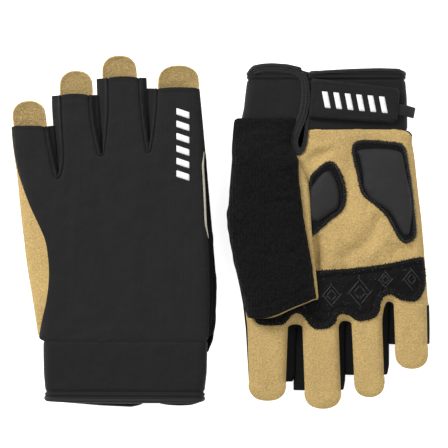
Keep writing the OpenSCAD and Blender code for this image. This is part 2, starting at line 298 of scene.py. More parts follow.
def thicken(verts, faces, normals, depth, sealed=()):
    """Gives a surface a thickness inward, with a rounded rim along its open edges.
    sealed holds the vertices of cut lines, where another piece carries on and no rim is wanted."""
    n, sealed = len(verts), set(sealed)
    count = {}
    for f in faces:
        for a, b in zip(f, f[1:] + f[:1]):
            count[(a, b)] = count.get((a, b), 0) + 1
    rim = [(a, b) for (a, b) in count if (b, a) not in count and not (a in sealed and b in sealed)]
    inner = verts - normals * depth
    away = np.zeros_like(verts)
    for a, b in rim:
        out = np.cross(verts[b] - verts[a], normals[a] + normals[b])
        away[a] += out
        away[b] += out
    on_rim = sorted({i for e in rim for i in e})
    place = {i: 2 * n + k for k, i in enumerate(on_rim)}
    away = unit(away[on_rim])
    middle = (verts[on_rim] + inner[on_rim]) / 2 + away * depth * 0.4
    out_faces = list(faces) + [tuple(i + n for i in reversed(f)) for f in faces]
    for a, b in rim:
        out_faces.append((b, a, place[a], place[b]))
        out_faces.append((place[b], place[a], a + n, b + n))
    return np.vstack([verts, inner, middle]), out_faces, np.vstack([normals, -normals, away])


def sweep(path, normals, profile, closed=False):
    """A bar along a path. profile is a loop of (across, up) points; up is the path's normal."""
    path, normals = np.array(path, float), unit(np.array(normals, float))
    ahead = np.gradient(path, axis=0)
    if closed:
        ahead = np.roll(path, -1, axis=0) - np.roll(path, 1, axis=0)
    across = unit(np.cross(unit(ahead), normals))
    profile = np.array(profile, float)
    m, n = len(profile), len(path)
    verts = path[:, None] + across[:, None] * profile[None, :, :1] + normals[:, None] * profile[None, :, 1:]
    faces = []
    for i in range(n if closed else n - 1):
        j = (i + 1) % n
        faces += [(i * m + k, i * m + (k + 1) % m, j * m + (k + 1) % m, j * m + k) for k in range(m)]
    if not closed:
        faces += [tuple(range(m))[::-1], tuple((n - 1) * m + k for k in range(m))]
    return verts.reshape(-1, 3), faces


def rounded_bar(width, height, corner, steps=3):
    """A rounded rectangle round the origin, as a sweep profile."""
    out = []
    for cx, cy, start in ((1, 1, 0), (-1, 1, 90), (-1, -1, 180), (1, -1, 270)):
        for k in range(steps + 1):
            a = math.radians(start + 90 * k / steps)
            out.append((cx * (width / 2 - corner) + corner * math.cos(a),
                        cy * (height / 2 - corner) + corner * math.sin(a)))
    return out


def joined(parts):
    """Several (verts, faces) as one."""
    verts, faces, start = [], [], 0
    for v, f in parts:
        verts.append(v)
        faces += [tuple(i + start for i in face) for face in f]
        start += len(v)
    return np.vstack(verts), faces


def stitches(path, normals, pitch=2.4, length=1.7, radius=0.28):
    """A row of sewn stitches, each a small lens lying along the path."""
    path = np.array(path, float)
    count = max(2, int(length_of(path) / pitch))
    line = spaced(np.hstack([path, normals]), count * 2)
    parts = []
    for k in range(1, count * 2, 2):
        c, up = line[k, :3], unit(line[k, 3:])
        t = unit(line[k + 1, :3] - line[k - 1, :3])
        side = np.cross(up, t)
        rings = [(-0.5, 0.35), (-0.25, 0.95), (0.25, 0.95), (0.5, 0.35)]
        verts = [c + t * length * a + (side * math.cos(w) + up * math.sin(w)) * radius * r
                 for a, r in rings for w in np.linspace(0, 2 * math.pi, 7)[:-1]]
        faces = [(i * 6 + j, (i + 1) * 6 + j, (i + 1) * 6 + (j + 1) % 6, i * 6 + (j + 1) % 6)
                 for i in range(3) for j in range(6)]
        faces += [(0, 1, 2, 3, 4, 5), (23, 22, 21, 20, 19, 18)]
        parts.append((np.array(verts), faces))
    return joined(parts)


def settle(verts, faces, held, pressure=0.0, growth=0.0, cap=1.5, frames=20):
    """Cloth simulation of a surface: pressure swells it and growth makes it buckle into folds, while the
    held vertices stay. Works at 20 times life size, where the cloth solver is steady. No vertex moves
    more than cap mm."""
    scale = 0.02
    mesh = bpy.data.meshes.new("cloth_work")
    mesh.from_pydata([tuple(v * scale) for v in verts], [], [tuple(int(i) for i in f) for f in faces])
    work = bpy.data.objects.new("cloth_work", mesh)
    scene = bpy.context.scene
    scene.collection.objects.link(work)
    group = work.vertex_groups.new(name="held")
    group.add([int(i) for i in np.nonzero(held)[0]], 1.0, "REPLACE")
    cloth = work.modifiers.new("cloth", "CLOTH")
    wanted = cloth.settings
    wanted.quality = 4
    wanted.tension_stiffness = wanted.compression_stiffness = 15
    wanted.bending_stiffness = 0.6
    wanted.vertex_group_mass = "held"
    wanted.effector_weights.gravity = 0
    wanted.shrink_min = -growth
    if pressure:
        wanted.use_pressure = True
        wanted.uniform_pressure_force = pressure
    cloth.collision_settings.use_collision = False
    cloth.point_cache.frame_end = frames
    for frame_number in range(1, frames + 1):
        scene.frame_set(frame_number)
    result = work.evaluated_get(bpy.context.evaluated_depsgraph_get()).data
    moved = np.empty(len(verts) * 3, np.float32)
    result.vertices.foreach_get("co", moved)
    scene.frame_set(1)
    bpy.data.objects.remove(work)
    bpy.data.meshes.remove(mesh)
    move = moved.reshape(-1, 3).astype(float) / scale - verts
    size = np.linalg.norm(move, axis=1, keepdims=True)
    return verts + move * np.minimum(1, cap / np.maximum(size, 1e-9))


# ---- materials ----

def set_inputs(tree, node, inputs):
    """Sets a shader node's inputs, or links those whose value is another node's socket."""
    for name, value in inputs.items():
        if isinstance(value, bpy.types.NodeSocket):
            tree.links.new(value, node.inputs[name])
        else:
            node.inputs[name].default_value = value


def add_node(tree, kind, inputs):
    """A new shader node with its inputs set."""
    node = tree.nodes.new(f"ShaderNode{kind}")
    set_inputs(tree, node, inputs)
    return node


def material(name, colour, rough, mottle, mottle_scale, layers, sheen, specular, weave=None,
             grain_share=0.31, grain_scale=900):
    """A fabric or leather: base colour varied by noise, and bump from noise layers and a woven rib.
    layers are (feature size in mm, strength); weave is (rib pitch in mm, strength, axis); grain_share
    is how much of the colour's variation is fine grain and not patches."""
    m = bpy.data.materials.new(name)
    m.use_nodes = True
    tree = m.node_tree
    place = add_node(tree, "Attribute", {})
    place.attribute_name = "glove"
    where = place.outputs["Vector"]
    patches = add_node(tree, "TexNoise", {"Vector": where, "Scale": mottle_scale, "Detail": 5,
                                          "Roughness": 0.62})
    grain = add_node(tree, "TexNoise", {"Vector": where, "Scale": grain_scale, "Detail": 3})
    both = add_node(tree, "Mix", {"Factor": grain_share, "A": patches.outputs["Fac"],
                                  "B": grain.outputs["Fac"]})
    ramp = add_node(tree, "ValToRGB", {"Fac": both.outputs["Result"]})
    for stop, position, level in zip(ramp.color_ramp.elements, (0.3, 0.7), (1 - mottle, 1 + mottle)):
        stop.position = position
        stop.color = (*[min(1.0, c * level) for c in colour], 1)
    spread = add_node(tree, "MapRange", {"Value": patches.outputs["Fac"], "To Min": max(0.0, rough - 0.07),
                                         "To Max": min(1.0, rough + 0.07)})
    shader = tree.nodes["Principled BSDF"]
    set_inputs(tree, shader, {"Base Color": ramp.outputs["Color"], "Roughness": spread.outputs["Result"],
                              "Specular IOR Level": specular, "Sheen Weight": sheen,
                              "Sheen Roughness": 0.45})
    heights = []
    for size, strength in layers:
        wave = add_node(tree, "TexNoise", {"Vector": where, "Scale": 1000 / size, "Detail": 3})
        heights.append((wave, strength, size * MM * 0.5))
    if weave:
        pitch, strength, axis = weave
        rib = add_node(tree, "TexWave", {"Vector": where, "Scale": 0.314 / (pitch * MM), "Distortion": 0.6,
                                         "Detail": 2, "Detail Scale": 2})
        rib.bands_direction = axis
        heights.append((rib, strength, pitch * MM * 0.3))
    before = {}
    for texture, strength, distance in heights:
        bump = add_node(tree, "Bump", {"Height": texture.outputs["Fac"], "Strength": strength,
                                       "Distance": distance, **before})
        before = {"Normal": bump.outputs["Normal"]}
    set_inputs(tree, shader, before)
    return m




# Per material: the slot its pieces take, colour, roughness, mottling and its scale, bump layers, sheen,
# specular, and for some the weave, the share of fine grain in the colour and the grain's scale.
FABRICS = {
    "stretch_black": ("stretch_fabric", (0.0125, 0.0125, 0.0128), 0.85, 0.2, 90, ((9, 0.3), (0.6, 0.3)),
                      0.06, 0.2, (0.9, 0.6, "X")),
    # a darker copy of the stretch fabric: painted shade for the deep finger gaps, the sides, the thumb
    # gusset and the webs
    "stretch_black_painted_shade": ("stretch_fabric", (0.0034, 0.0034, 0.0036), 0.8, 0.3, 90, ((4, 0.3), (0.6, 0.3)),
                   0.0, 0.11),
    "cuff_black": ("cuff_neoprene", (0.0090, 0.0090, 0.0093), 0.78, 0.14, 70, ((12, 0.25), (0.5, 0.3)),
                   0.05, 0.2),
    "tape_black": ("elastic_tape", (0.0095, 0.0095, 0.0098), 0.62, 0.2, 200, ((0.8, 0.3),), 0.06, 0.3,
                   (1.0, 0.6, "Y")),
    "terry_black": ("thumb_terry", (0.0052, 0.0052, 0.0056), 0.95, 0.85, 220,
                    ((2.6, 0.7), (0.9, 1.0), (0.45, 0.8)), 0.05, 0.12, (1.7, 0.35, "X"), 0.75),
    "patch_black": ("grip_patch", (0.0028, 0.0028, 0.0031), 0.6, 0.7, 300, ((1.3, 1.0), (0.5, 0.7)),
                    0.0, 0.12),
    "grip_lines": ("grip_patch", (0.046, 0.046, 0.049), 0.45, 0.95, 480, ((0.8, 0.5),), 0.0, 0.5),
    "foam_grey": ("pad_foam", (0.0165, 0.0165, 0.0172), 0.7, 0.14, 60, ((6, 0.2), (0.5, 0.4)), 0.04, 0.28),
    "velcro_black": ("hook_and_loop", (0.006, 0.006, 0.006), 0.9, 0.4, 500, ((0.5, 1.0),), 0.05, 0.2),
    "palm_tan": ("palm_suede", (0.482, 0.336, 0.133), 0.88, 0.34, 55, ((7, 0.2), (1.3, 0.7), (0.6, 0.8)),
                 0.08, 0.15, None, 0.78, 1400),
    # the leather's lined side: partly its own darker tone, partly painted shade for the fingertips seen
    # inside the hems
    "palm_lining_and_shade": ("palm_suede", (0.37, 0.262, 0.108), 0.92, 0.42, 80, ((3, 0.4), (1.0, 0.9), (0.5, 0.9)),
                    0.08, 0.1, None, 0.78, 1400),
    "leather_edge": ("palm_suede", (0.42, 0.39, 0.32), 0.85, 0.15, 90, ((0.6, 0.4),), 0.0, 0.2),
    "thread_black": ("thread_black", (0.0055, 0.0055, 0.006), 0.65, 0.3, 300, ((0.4, 0.4),), 0.0, 0.3),
    "pad_thread": ("thread_black", (0.0046, 0.0046, 0.0054), 0.42, 0.8, 300, ((0.4, 0.4),), 0.0, 0.6),
    "print_white": ("print_white", (0.86, 0.86, 0.85), 0.45, 0.02, 80, ((0.7, 0.15),), 0.0, 0.45),
}
materials = {name: material(name, *look) for name, (_, *look) in FABRICS.items()}


# ---- gloves ----

joints = {j["name"]: j for j in frame["joints"]}
# where the index finger's joint sits, in glove millimetres
INDEX_JOINT = {"left": (27.7, 104.45, PALM_LEVEL), "right": (31.8, 107.95, PALM_LEVEL)}


def add_to_scene(name, data):
    """A new object in the scene, from its mesh, light or camera."""
    obj = bpy.data.objects.new(name, data)
    bpy.context.scene.collection.objects.link(obj)
    return obj


class Glove:
    """One glove's outlines, surfaces and place in the pair."""

    def __init__(self, side):
        self.side = side
        self.data = SIDES[side]
        self.fingers = self.data["fingers"]
        self.mirrored = side == "left"
        # the index finger's joint gives the glove's place: its axis is the glove's x axis
        joint = joints[f"{side}_index_flex"]
        x_axis = np.array(joint["axis"], float) * (-1 if self.mirrored else 1)
        y_axis = np.array((0, 1, 0) if self.mirrored else (0, -1, 0), float)
        z_axis = np.cross(x_axis, y_axis) * (-1 if self.mirrored else 1)
        self.axes = np.column_stack([x_axis, y_axis, z_axis])
        self.origin = np.array(joint["pos_m"], float) - self.axes @ np.array(INDEX_JOINT[side]) * MM
        self.front, self.back = Sheet(self, "front"), Sheet(self, "back")

    def to_row(self, points):
        """Glove-frame millimetres to metres in the row frame."""
        return self.origin + np.array(points, float) @ self.axes.T * MM

    def body(self, name):
        return f"{self.side}_{name}"

    def piece(self, name, verts, faces, fabric, body, replaces=(), normals=None, blend=None, lining=None):
        """Makes one piece from glove-frame millimetres, and ties it to a body, or where blend is given
        leaves it unparented in the row frame.
        lining is the span of faces on the leather's lined side."""
        mesh = bpy.data.meshes.new(f"{self.side}_{name}")
        faces = [tuple(int(i) for i in f) for f in faces]
        if self.mirrored:
            faces = [f[::-1] for f in faces]
        row = self.to_row(verts)
        row[:, 2] = np.maximum(row[:, 2], 0.0)      # nothing dips into the table
        mesh.from_pydata([tuple(v) for v in row], [], faces)
        place = mesh.attributes.new("glove", "FLOAT_VECTOR", "POINT")
        place.data.foreach_set("vector", (np.array(verts) * MM).astype(np.float32).ravel())
        mesh.materials.append(materials[fabric])
        mesh.polygons.foreach_set("use_smooth", [True] * len(mesh.polygons))
        if lining:
            first, last = lining
            # the lined side's darker tan is partly its own tone and partly painted shade
            mesh.materials.append(materials["palm_lining_and_shade"])
            mesh.polygons.foreach_set("material_index", [int(first <= i < last) for i in range(len(faces))])
        if normals is not None:
            mesh.normals_split_custom_set_from_vertices([tuple(n) for n in unit(normals) @ self.axes.T])
        mesh.update()
        obj = add_to_scene(f"{self.side}_{name}", mesh)
        if replaces:
            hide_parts(*[f"{node}_{self.side}" for node in replaces])
        if blend:
            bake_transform(obj)
        else:
            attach(obj, self.body(body))
        return obj

    def finger_blend(self, f):
        """The span from the hand to finger f, the 12 mm past the split line, as the finger and two points.
        """
        d = self.fingers[f]
        x = sum(v[0] for v in d["front"]) / 2
        return (f, (x, d["split"] + 0.01, 5), (x, d["split"] + 12, 5))


class Sheet:
    """The front (leather) or back (stretch fabric) face of a glove, as an outline and a height."""

    def __init__(self, glove, kind):
        self.glove, self.kind = glove, kind
        self.out = 1 if kind == "front" else -1
        self.level = PALM_LEVEL if kind == "front" else 0.0
        self.parts = self.outline()

    def edge(self, f, side, count=16):
        """Finger f's edge from its split to its hem; side 0 faces the little finger, 1 the thumb."""
        d = self.glove.fingers[f]
        y = np.linspace(d["split"], d["hem"], count + 1)
        if self.kind == "front":
            x0, x1 = d["front"][side]
            x = np.interp(y, (d["split"], d["tip"] - 8), (x0, x1))
        else:
            s = (y - y[0]) / (y[-1] - y[0])
            x0, x1, x2 = d["back"][side]
            x = x0 * (1 - s) * (1 - 2 * s) + 4 * x1 * s * (1 - s) - x2 * s * (1 - 2 * s)
        return np.column_stack([x, y])

    def cap(self, f):
        """Finger f's open end, from its thumb side to its little side, between the hem corners."""
        d = self.glove.fingers[f]
        a, b = self.edge(f, 1)[-1], self.edge(f, 0)[-1]
        if self.kind == "back":
            t = np.linspace(0, 1, 17)[1:-1, None]
            return a * (1 - t) + b * t + np.array([0, 1.0]) * (0.7 * 4 * t * (1 - t))
        (_, left), (_, right) = d["front"]
        middle, half = (left + right) / 2, (right - left) / 2
        rise = 8.5      # length of the rounded end
        base = d["tip"] - rise
        angles = np.radians(np.linspace(0, 180, 25))
        arc = np.column_stack([middle + half * np.sign(np.cos(angles)) * np.abs(np.cos(angles)) ** 0.86,
                               base + rise * np.sin(angles) ** 0.9])
        return spaced(np.vstack([a, arc, b]), 34)[1:-1]

    def outline(self):
        """The outline's named parts, each an array of points, in one counter-clockwise round."""
        data = self.glove.data
        parts = {"thumb_low": spaced(smooth(data[f"{self.kind}_thumb"]), 56)}
        parts["thumb_high"] = self.edge("index", 1)
        for k, (a, b) in enumerate(zip(FINGERS, FINGERS[1:])):
            parts[f"cap_{a}"] = self.cap(a)
            down, up = self.edge(a, 0)[::-1], self.edge(b, 1)
            cx, cy = data["crotches"][k]
            t = np.linspace(0, math.pi / 2, 8)[:, None]
            left, right = [np.hstack([cx + (x - cx) * np.cos(t), y - (y - cy) * np.sin(t)])
                           for x, y in (down[-1], up[0])]
            parts[f"down_{k}"] = down
            parts[f"web_{k}"] = np.vstack([left, right[-2::-1]])
            parts[f"up_{k}"] = up
        parts["cap_little"] = self.cap("little")
        parts["little_high"] = self.edge("little", 0)[::-1]
        parts["little_low"] = spaced(smooth(data[f"{self.kind}_little"])[::-1], 56)
        (xl, yl), (xt, yt) = parts["little_low"][-1], parts["thumb_low"][0]
        corner_l = [(xl + inward_x, yl * share) for inward_x, share in WRIST_CORNER]
        corner_t = [(xt - inward_x, yt * share) for inward_x, share in WRIST_CORNER[::-1]]
        vent = [(8.6, 0.1), *VENT[::-1], (21.5, 0.0)] if self.kind == "front" else [(0, -0.3)]
        wrist = [*smooth(corner_l, 3), *vent, *smooth(corner_t, 3)]
        parts["wrist"] = np.vstack([spaced([a, b], max(1, int(math.dist(a, b) / 1.6)))[:-1]
                                    for a, b in zip(wrist, wrist[1:])])[1:]
        return parts

    def loop(self):
        """All of the outline as one closed loop without doubled points."""
        pts = np.vstack(list(self.parts.values()))
        keep = [0]
        for i in range(1, len(pts)):
            if np.hypot(*(pts[i] - pts[keep[-1]])) > 0.05:
                keep.append(i)
        return pts[keep]

    def drops(self):
        """Samples of the outline, how far the sheet turns down at each and over what width."""
        pts, drop, width = [], [], []
        for name, p in self.parts.items():
            value, reach = TURN_DOWN[self.kind].get(name.split("_")[0], SIDE_TURN_DOWN)
            value = np.full(len(p), value)
            if self.kind == "back" and name == "little_low":
                inset = np.linalg.norm(self.glove.front.parts[name] - p, axis=1)
                value = 0.55 + 2.65 * np.exp(-(inset / 5.0) ** 2)
            pts.append(p)
            drop.append(value)
            width.append(np.full(len(p), reach))
        return np.vstack(pts), np.concatenate(drop), np.concatenate(width)

    def height(self, points):
        """z of the sheet's outer face at the points."""
        points = np.array(points, float)
        samples, drop, width = self.drops()
        down, least = np.zeros(len(points)), np.zeros(len(points))
        for start in range(0, len(points), 512):
            part = slice(start, start + 512)
            d = np.linalg.norm(points[part, None, :] - samples[None, :, :], axis=2)
            down[part] = (drop * (1 - dome(d / width))).max(1)
            least[part] = d.min(1)
        relief = RELIEF[self.glove.side, self.kind](points) * np.clip(least / 6, 0, 1)
        if self.kind == "back":
            caps = np.vstack([p for name, p in self.parts.items() if name.startswith("cap")])
            hem = np.minimum(nearest(points, caps)[0], 20)
            relief += 0.3 / (1 + np.exp((hem - 1.9) * 6)) - 0.45 * np.exp(-((hem - 2.3) / 0.5) ** 2)
        return self.level + self.out * (relief - down)

    def edge3(self, name):
        """A named part of the outline, lifted to the height of its edge."""
        p = self.parts[name]
        return np.column_stack([p, self.height(p)])

    def surface(self, step):
        """The whole outer face, cut along the lines where the fingers start."""
        cuts = []
        for f in FINGERS:
            a, b = self.edge(f, 0)[0], self.edge(f, 1)[0]
            cuts.append(spaced([a, b], int((b[0] - a[0]) / step)))
        if self.kind == "back":
            cuts += self.seam_lines(step)
        flat, faces = fill(self.loop(), cuts, step)
        verts = np.column_stack([flat, self.height(flat)])
        if self.out < 0:
            faces = [f[::-1] for f in faces]
        elif self.glove.side == "right":
            free = (flat[:, 1] > 2) & (flat[:, 1] < 80) & (nearest(flat, self.loop())[0] > 3)
            for outline in (THENAR_BORDER, HEEL_BORDER, KNUCKLE_TOP + KNUCKLE_LOW):
                ring = smooth_loop(outline, 4)
                free &= ~inside(flat, ring) & (nearest(flat, ring)[0] > 1.0)
            verts = settle(verts, faces, ~free, pressure=0.3, growth=0.016, cap=0.9)
        return verts, faces, vertex_normals(verts, faces)

    def seam_lines(self, step):
        """Lines beside the hems and the gap seams, so the mesh can follow their small grooves."""
        lines = []
        for f in FINGERS:
            corner, other = self.edge(f, 0)[-1], self.edge(f, 1)[-1]
            for inset in (1.5, 2.3, 3.1):
                ends = corner + (0.5, -inset), other - (0.5, inset)
                lines.append(spaced(ends, int((other[0] - corner[0]) / step)))
        for k in range(3):
            rim = np.vstack([self.parts[f"down_{k}"], self.parts[f"web_{k}"][1:], self.parts[f"up_{k}"][1:]])
            ahead = unit(np.gradient(rim, axis=0))
            for inset in (0.8, 1.7):
                line = (rim - np.column_stack([ahead[:, 1], -ahead[:, 0]]) * inset)[3:-3]
                lines.append(spaced(line, int(len(line) * 1.2)))
        return lines

    def finger_of(self, centre):
        """The finger that a face's centre is on, or None for the hand."""
        for f in FINGERS:
            d = self.glove.fingers[f]
            low, high = d[self.kind]
            if centre[1] > d["split"] and min(low) - 1.5 < centre[0] < max(high) + 1.5:
                return f
        return None


# how far a sheet turns down at its edges and over what width: along the sides, and elsewhere by the kind
# of sheet and the first word of the outline part's name
SIDE_TURN_DOWN = (3.2, 7.0)
TURN_DOWN = {
    "front": {**dict.fromkeys(("down", "web", "up"), (2.6, 5.5)), "cap": (0.9, 5.0), "wrist": (0.9, 2.2)},
    "back": {**dict.fromkeys(("down", "web", "up"), (1.1, 1.9)), "cap": (0.25, 0.8), "wrist": (0.9, 2.2)},
}

# how the outline rounds the wrist's corners: x inward from the side, and the share of the side's y
WRIST_CORNER = ((0, 1), (0.6, 0.62), (2.3, 0.33), (5.0, 0.17), (8.5, 0))

# the vent slit in the palm, from its thumb side round its end to its little side
VENT = [tuple(p) for p in spaced(smooth([(19.6, 0.4), (20.2, 5.4), (19.6, 10.2), (17.6, 13.8), (14.8, 14.8),
                                         (12.4, 12.8), (10.9, 7.5), (10.4, 1.6)]), 24)]


def left_back_relief(p):
    """Soft lengthwise waves and a few folds on the back of the left hand."""
    lie = 0.5 * bumps(p * (1.6, 0.55), 22, 3.1) + 0.16 * bumps(p * (3.2, 0.5), 12, 7.7)
    for a, b, w, d in (((-34, 20), (-24, 88), 3.0, 0.22), ((8, 6), (4, 74), 3.4, 0.22),
                       ((30, 10), (34, 84), 3.0, -0.2), ((-12, 60), (-16, 100), 2.5, -0.22),
                       ((16, 70), (13, 104), 2.2, -0.3), ((-14, 80), (-13, 103), 2.2, -0.3),
                       ((-44, 64), (-38, 90), 2.4, -0.3), ((-40, 8), (30, 5), 2.5, 0.22),
                       ((24, 112), (25, 138), 2.2, 0.2)):
        lie += crease(p, a, b, w, d)
    return lie


def right_palm_relief(p):
    """Creases and swells of the right palm's leather."""
    lie = 0.6 * bumps(p, 26, 1.3) + 0.16 * bumps(p, 11, 5.5)
    for a, b, w, d in (((-31, 48), (-24, 66), 3.4, -1.5), ((-25, 64), (-6, 75), 3.6, -1.5),
                       ((-18, 50), (-14, 66), 5.0, 1.0), ((-38, 58), (-22, 75), 4.2, 1.1),
                       ((4.6, 60), (4.8, 82), 3.4, -3.4), ((-5, 60), (-4, 78), 4.8, 1.2),
                       ((-12, 22), (-14, 44), 3.2, -0.8), ((10, 17.5), (-6, 12), 3.0, -1.9),
                       ((9, 8), (-5, 16), 3.4, 1.0), ((-50, 66), (-36, 71), 3.0, -1.1)):
        lie += crease(p, a, b, w, d)
    return lie


def hidden_relief(p):
    """The right glove's back lies on the table, and is only a little uneven."""
    return 0.3 * bumps(p, 24, 9.2)


RELIEF = {
    ("left", "back"): left_back_relief, ("left", "front"): right_palm_relief,
    ("right", "front"): right_palm_relief, ("right", "back"): hidden_relief,
}


def build_sheet(sheet, step, thickness, fabric, hand_name, hand_node, finger_part):
    """The hand's panel and the four finger panels of one sheet, which meet with no visible line."""
    glove = sheet.glove
    verts, faces, normals = sheet.surface(step)
    owner = [sheet.finger_of(verts[list(f)].mean(0)) for f in faces]
    borders = {}
    for f, who in zip(faces, owner):
        for i in f:
            borders.setdefault(i, set()).add(who)
    cut = {i for i, who in borders.items() if len(who) > 1}
    for who in (None, *FINGERS):
        v, f, n, used = take(verts, faces, normals, [o == who for o in owner])
        sealed = [k for k, old in enumerate(used) if old in cut]
        # the inner faces of the leather take the darker lining tan, which is partly painted shade
        lining = (len(f), 2 * len(f)) if sheet.kind == "front" else None
        v, f, n = thicken(v, f, n, thickness, sealed)
        name = f"{who}_{finger_part}_panel" if who else hand_name
        node = f"{who}_{finger_part}" if who else hand_node
        glove.piece(name, v, f, fabric, "hand", [node], n, glove.finger_blend(who) if who else None, lining)


def wall(glove, names, bulge):
    """The side wall along consecutive outline parts, curved from the front edge to the back edge.
    bulge gives its outward swell per sample, or the gap number that a fourchette has to fill.
    Returns its grid and where each part begins."""
    front = np.vstack([glove.front.edge3(n)[(1 if i else 0):] for i, n in enumerate(names)])
    back = np.vstack([glove.back.edge3(n)[(1 if i else 0):] for i, n in enumerate(names)])
    starts = np.cumsum([0] + [len(glove.front.parts[n]) - 1 for n in names])
    ahead = unit(np.gradient(front[:, :2], axis=0) + np.gradient(back[:, :2], axis=0))
    out = np.column_stack([ahead[:, 1], -ahead[:, 0], np.zeros(len(front))])
    fall = (front[:, 2] - back[:, 2])[:, None] * np.array([0, 0, 1.0])
    if isinstance(bulge, int):
        rows = fourchette(glove, bulge, front, back, out, fall, starts)
    else:
        b = np.interp(np.arange(len(front)), starts, bulge)[:, None]
        inset = np.clip(((front - back) * out).sum(1), 0, None)[:, None]
        p1 = front + out * b * 1.33 - fall * 0.28
        p2 = back + out * (b * 1.33 + inset * 0.8) + fall * np.where(inset > 3, 0.03, 0.28)
        rows = [front * (1 - t)**3 + 3 * p1 * t * (1 - t)**2 + 3 * p2 * t**2 * (1 - t) + back * t**3
                for t in np.linspace(0, 1, 10)]
    return np.stack(rows, axis=1), starts


def fourchette(glove, gap, front, back, out, fall, starts):
    """Cross-sections of a finger gap's wall: it swells to the gap's middle line, and rolls over at the
    seam with the back."""
    (cx, cy), end_x = glove.data["crotches"][gap], glove.data["gap_ends"][gap]
    middle = (front + back) / 2
    line = cx + (end_x - cx) * np.clip((middle[:, 1] - cy) / 40, 0, 1)
    reach = (line - middle[:, 0]) * out[:, 0] - 0.3
    web = slice(starts[1], starts[2] + 1)
    count = starts[2] - starts[1] + 1
    reach[web] = np.interp(np.arange(count), (0, count / 2, count - 1),
                           (reach[starts[1]], 2.3, reach[starts[2]]))
    evened = np.convolve(np.pad(reach, 2, mode="edge"), np.ones(5) / 5, mode="valid")
    reach = np.clip(evened, 0.4, 8)[:, None]
    # towards the hem it narrows, by a share that differs between a finger's two sides
    on_second = (np.arange(len(front)) > starts[1]).astype(int)
    to_hem = middle[[0, -1], 1][on_second] - middle[:, 1]
    share = np.array(glove.data["taper"])[on_second]
    reach = reach * (1 - share * np.clip(1 - to_hem / 6, 0, 1) ** 1.5)[:, None]
    # the two walls of a gap interlock, so no straight slit is left between them
    lock = np.interp(np.arange(len(front)), (0, starts[1], starts[2], starts[3]), (0.8, 0.8, -0.8, -0.8))
    lock = lock[:, None] * np.clip(reach / 2, 0, 1)
    rim = np.clip(reach / 2.4, 0.2, 1)
    up = fall / np.maximum(np.linalg.norm(fall, axis=1, keepdims=True), 1e-6)
    marks = [front, front + out * reach * 0.45 - fall * 0.13, middle + out * (reach + lock) + fall * 0.14,
             middle + out * (reach - lock) - fall * 0.06, back + out * 2.0 * rim + fall * 0.24,
             back + out * 1.75 * rim - up * 0.1, back + out * 0.95 * rim - up * 0.9 * rim,
             back + out * 0.25 * rim - up * 0.25, back]
    return catmull(marks, 2)


def grid_faces(rows, cols):
    """Faces of a grid of points that lists each row in turn."""
    return [(i * cols + j, i * cols + j + 1, (i + 1) * cols + j + 1, (i + 1) * cols + j)
            for i in range(rows - 1) for j in range(cols - 1)]


def build_walls(glove):
    """Side gussets, the webs between the fingers, and the fourchettes of each finger."""
    left = glove.side == "left"
    # the right glove's gap walls and little-finger side take the darker stretch copy, which is painted shade
    gap_fabric = "stretch_black" if left else "stretch_black_painted_shade"
    outer_fabric = "palm_tan" if left else "stretch_black_painted_shade"
    # each chain of outline parts is one wall, and each of its parts belongs to one piece
    chains = [(("thumb_low", "thumb_high"), ("thumb_side", "index"), (1.6, 1.2, 0.2)),
              *[((f"down_{k}", f"web_{k}", f"up_{k}"), (FINGERS[k], "web", FINGERS[k + 1]), k)
                for k in range(3)],
              (("little_high", "little_low"), ("little_outer", "little_side"), (0.5, 1.0, 0.3))]
    pieces = {}
    for names, owners, bulge in chains:
        grid, starts = wall(glove, names, bulge)
        rows, cols = grid.shape[:2]
        faces = grid_faces(rows, cols)
        verts = grid.reshape(-1, 3)
        normals = vertex_normals(verts, faces)
        for owner, first, last in zip(owners, starts, starts[1:]):
            v, g, n, used = take(verts, faces, normals, [first <= face[0] // cols < last for face in faces])
            ends = [r for r in (first, last) if 0 < r < rows - 1]
            sealed = [k for k, old in enumerate(used) if old // cols in ends]
            pieces.setdefault(owner, []).append(thicken(v, g, n, GAP_WALL, sealed))
    # the thumb gusset takes the darker stretch copy as well: painted shade along the side
    made = {"thumb_side": ("thumb_gusset", "stretch_black_painted_shade", ["thumb_side_gusset"], None),
            "little_side": ("little_gusset", "palm_tan", ["little_side_gusset"], None),
            "web": ("finger_webs", gap_fabric, [], None),
            "little_outer": ("little_outer_wall", outer_fabric, [], "little"),
            **{f: (f"{f}_side_walls", gap_fabric, [f"{f}_fourchettes"], f) for f in FINGERS}}
    for owner, parts in pieces.items():
        name, fabric, replaces, finger = made[owner]
        verts, faces = joined([(v, g) for v, g, _ in parts])
        glove.piece(name, verts, faces, fabric, "hand", replaces, np.vstack([n for *_, n in parts]),
                    glove.finger_blend(finger) if finger else None)


# ---- patches and pads on the palm ----

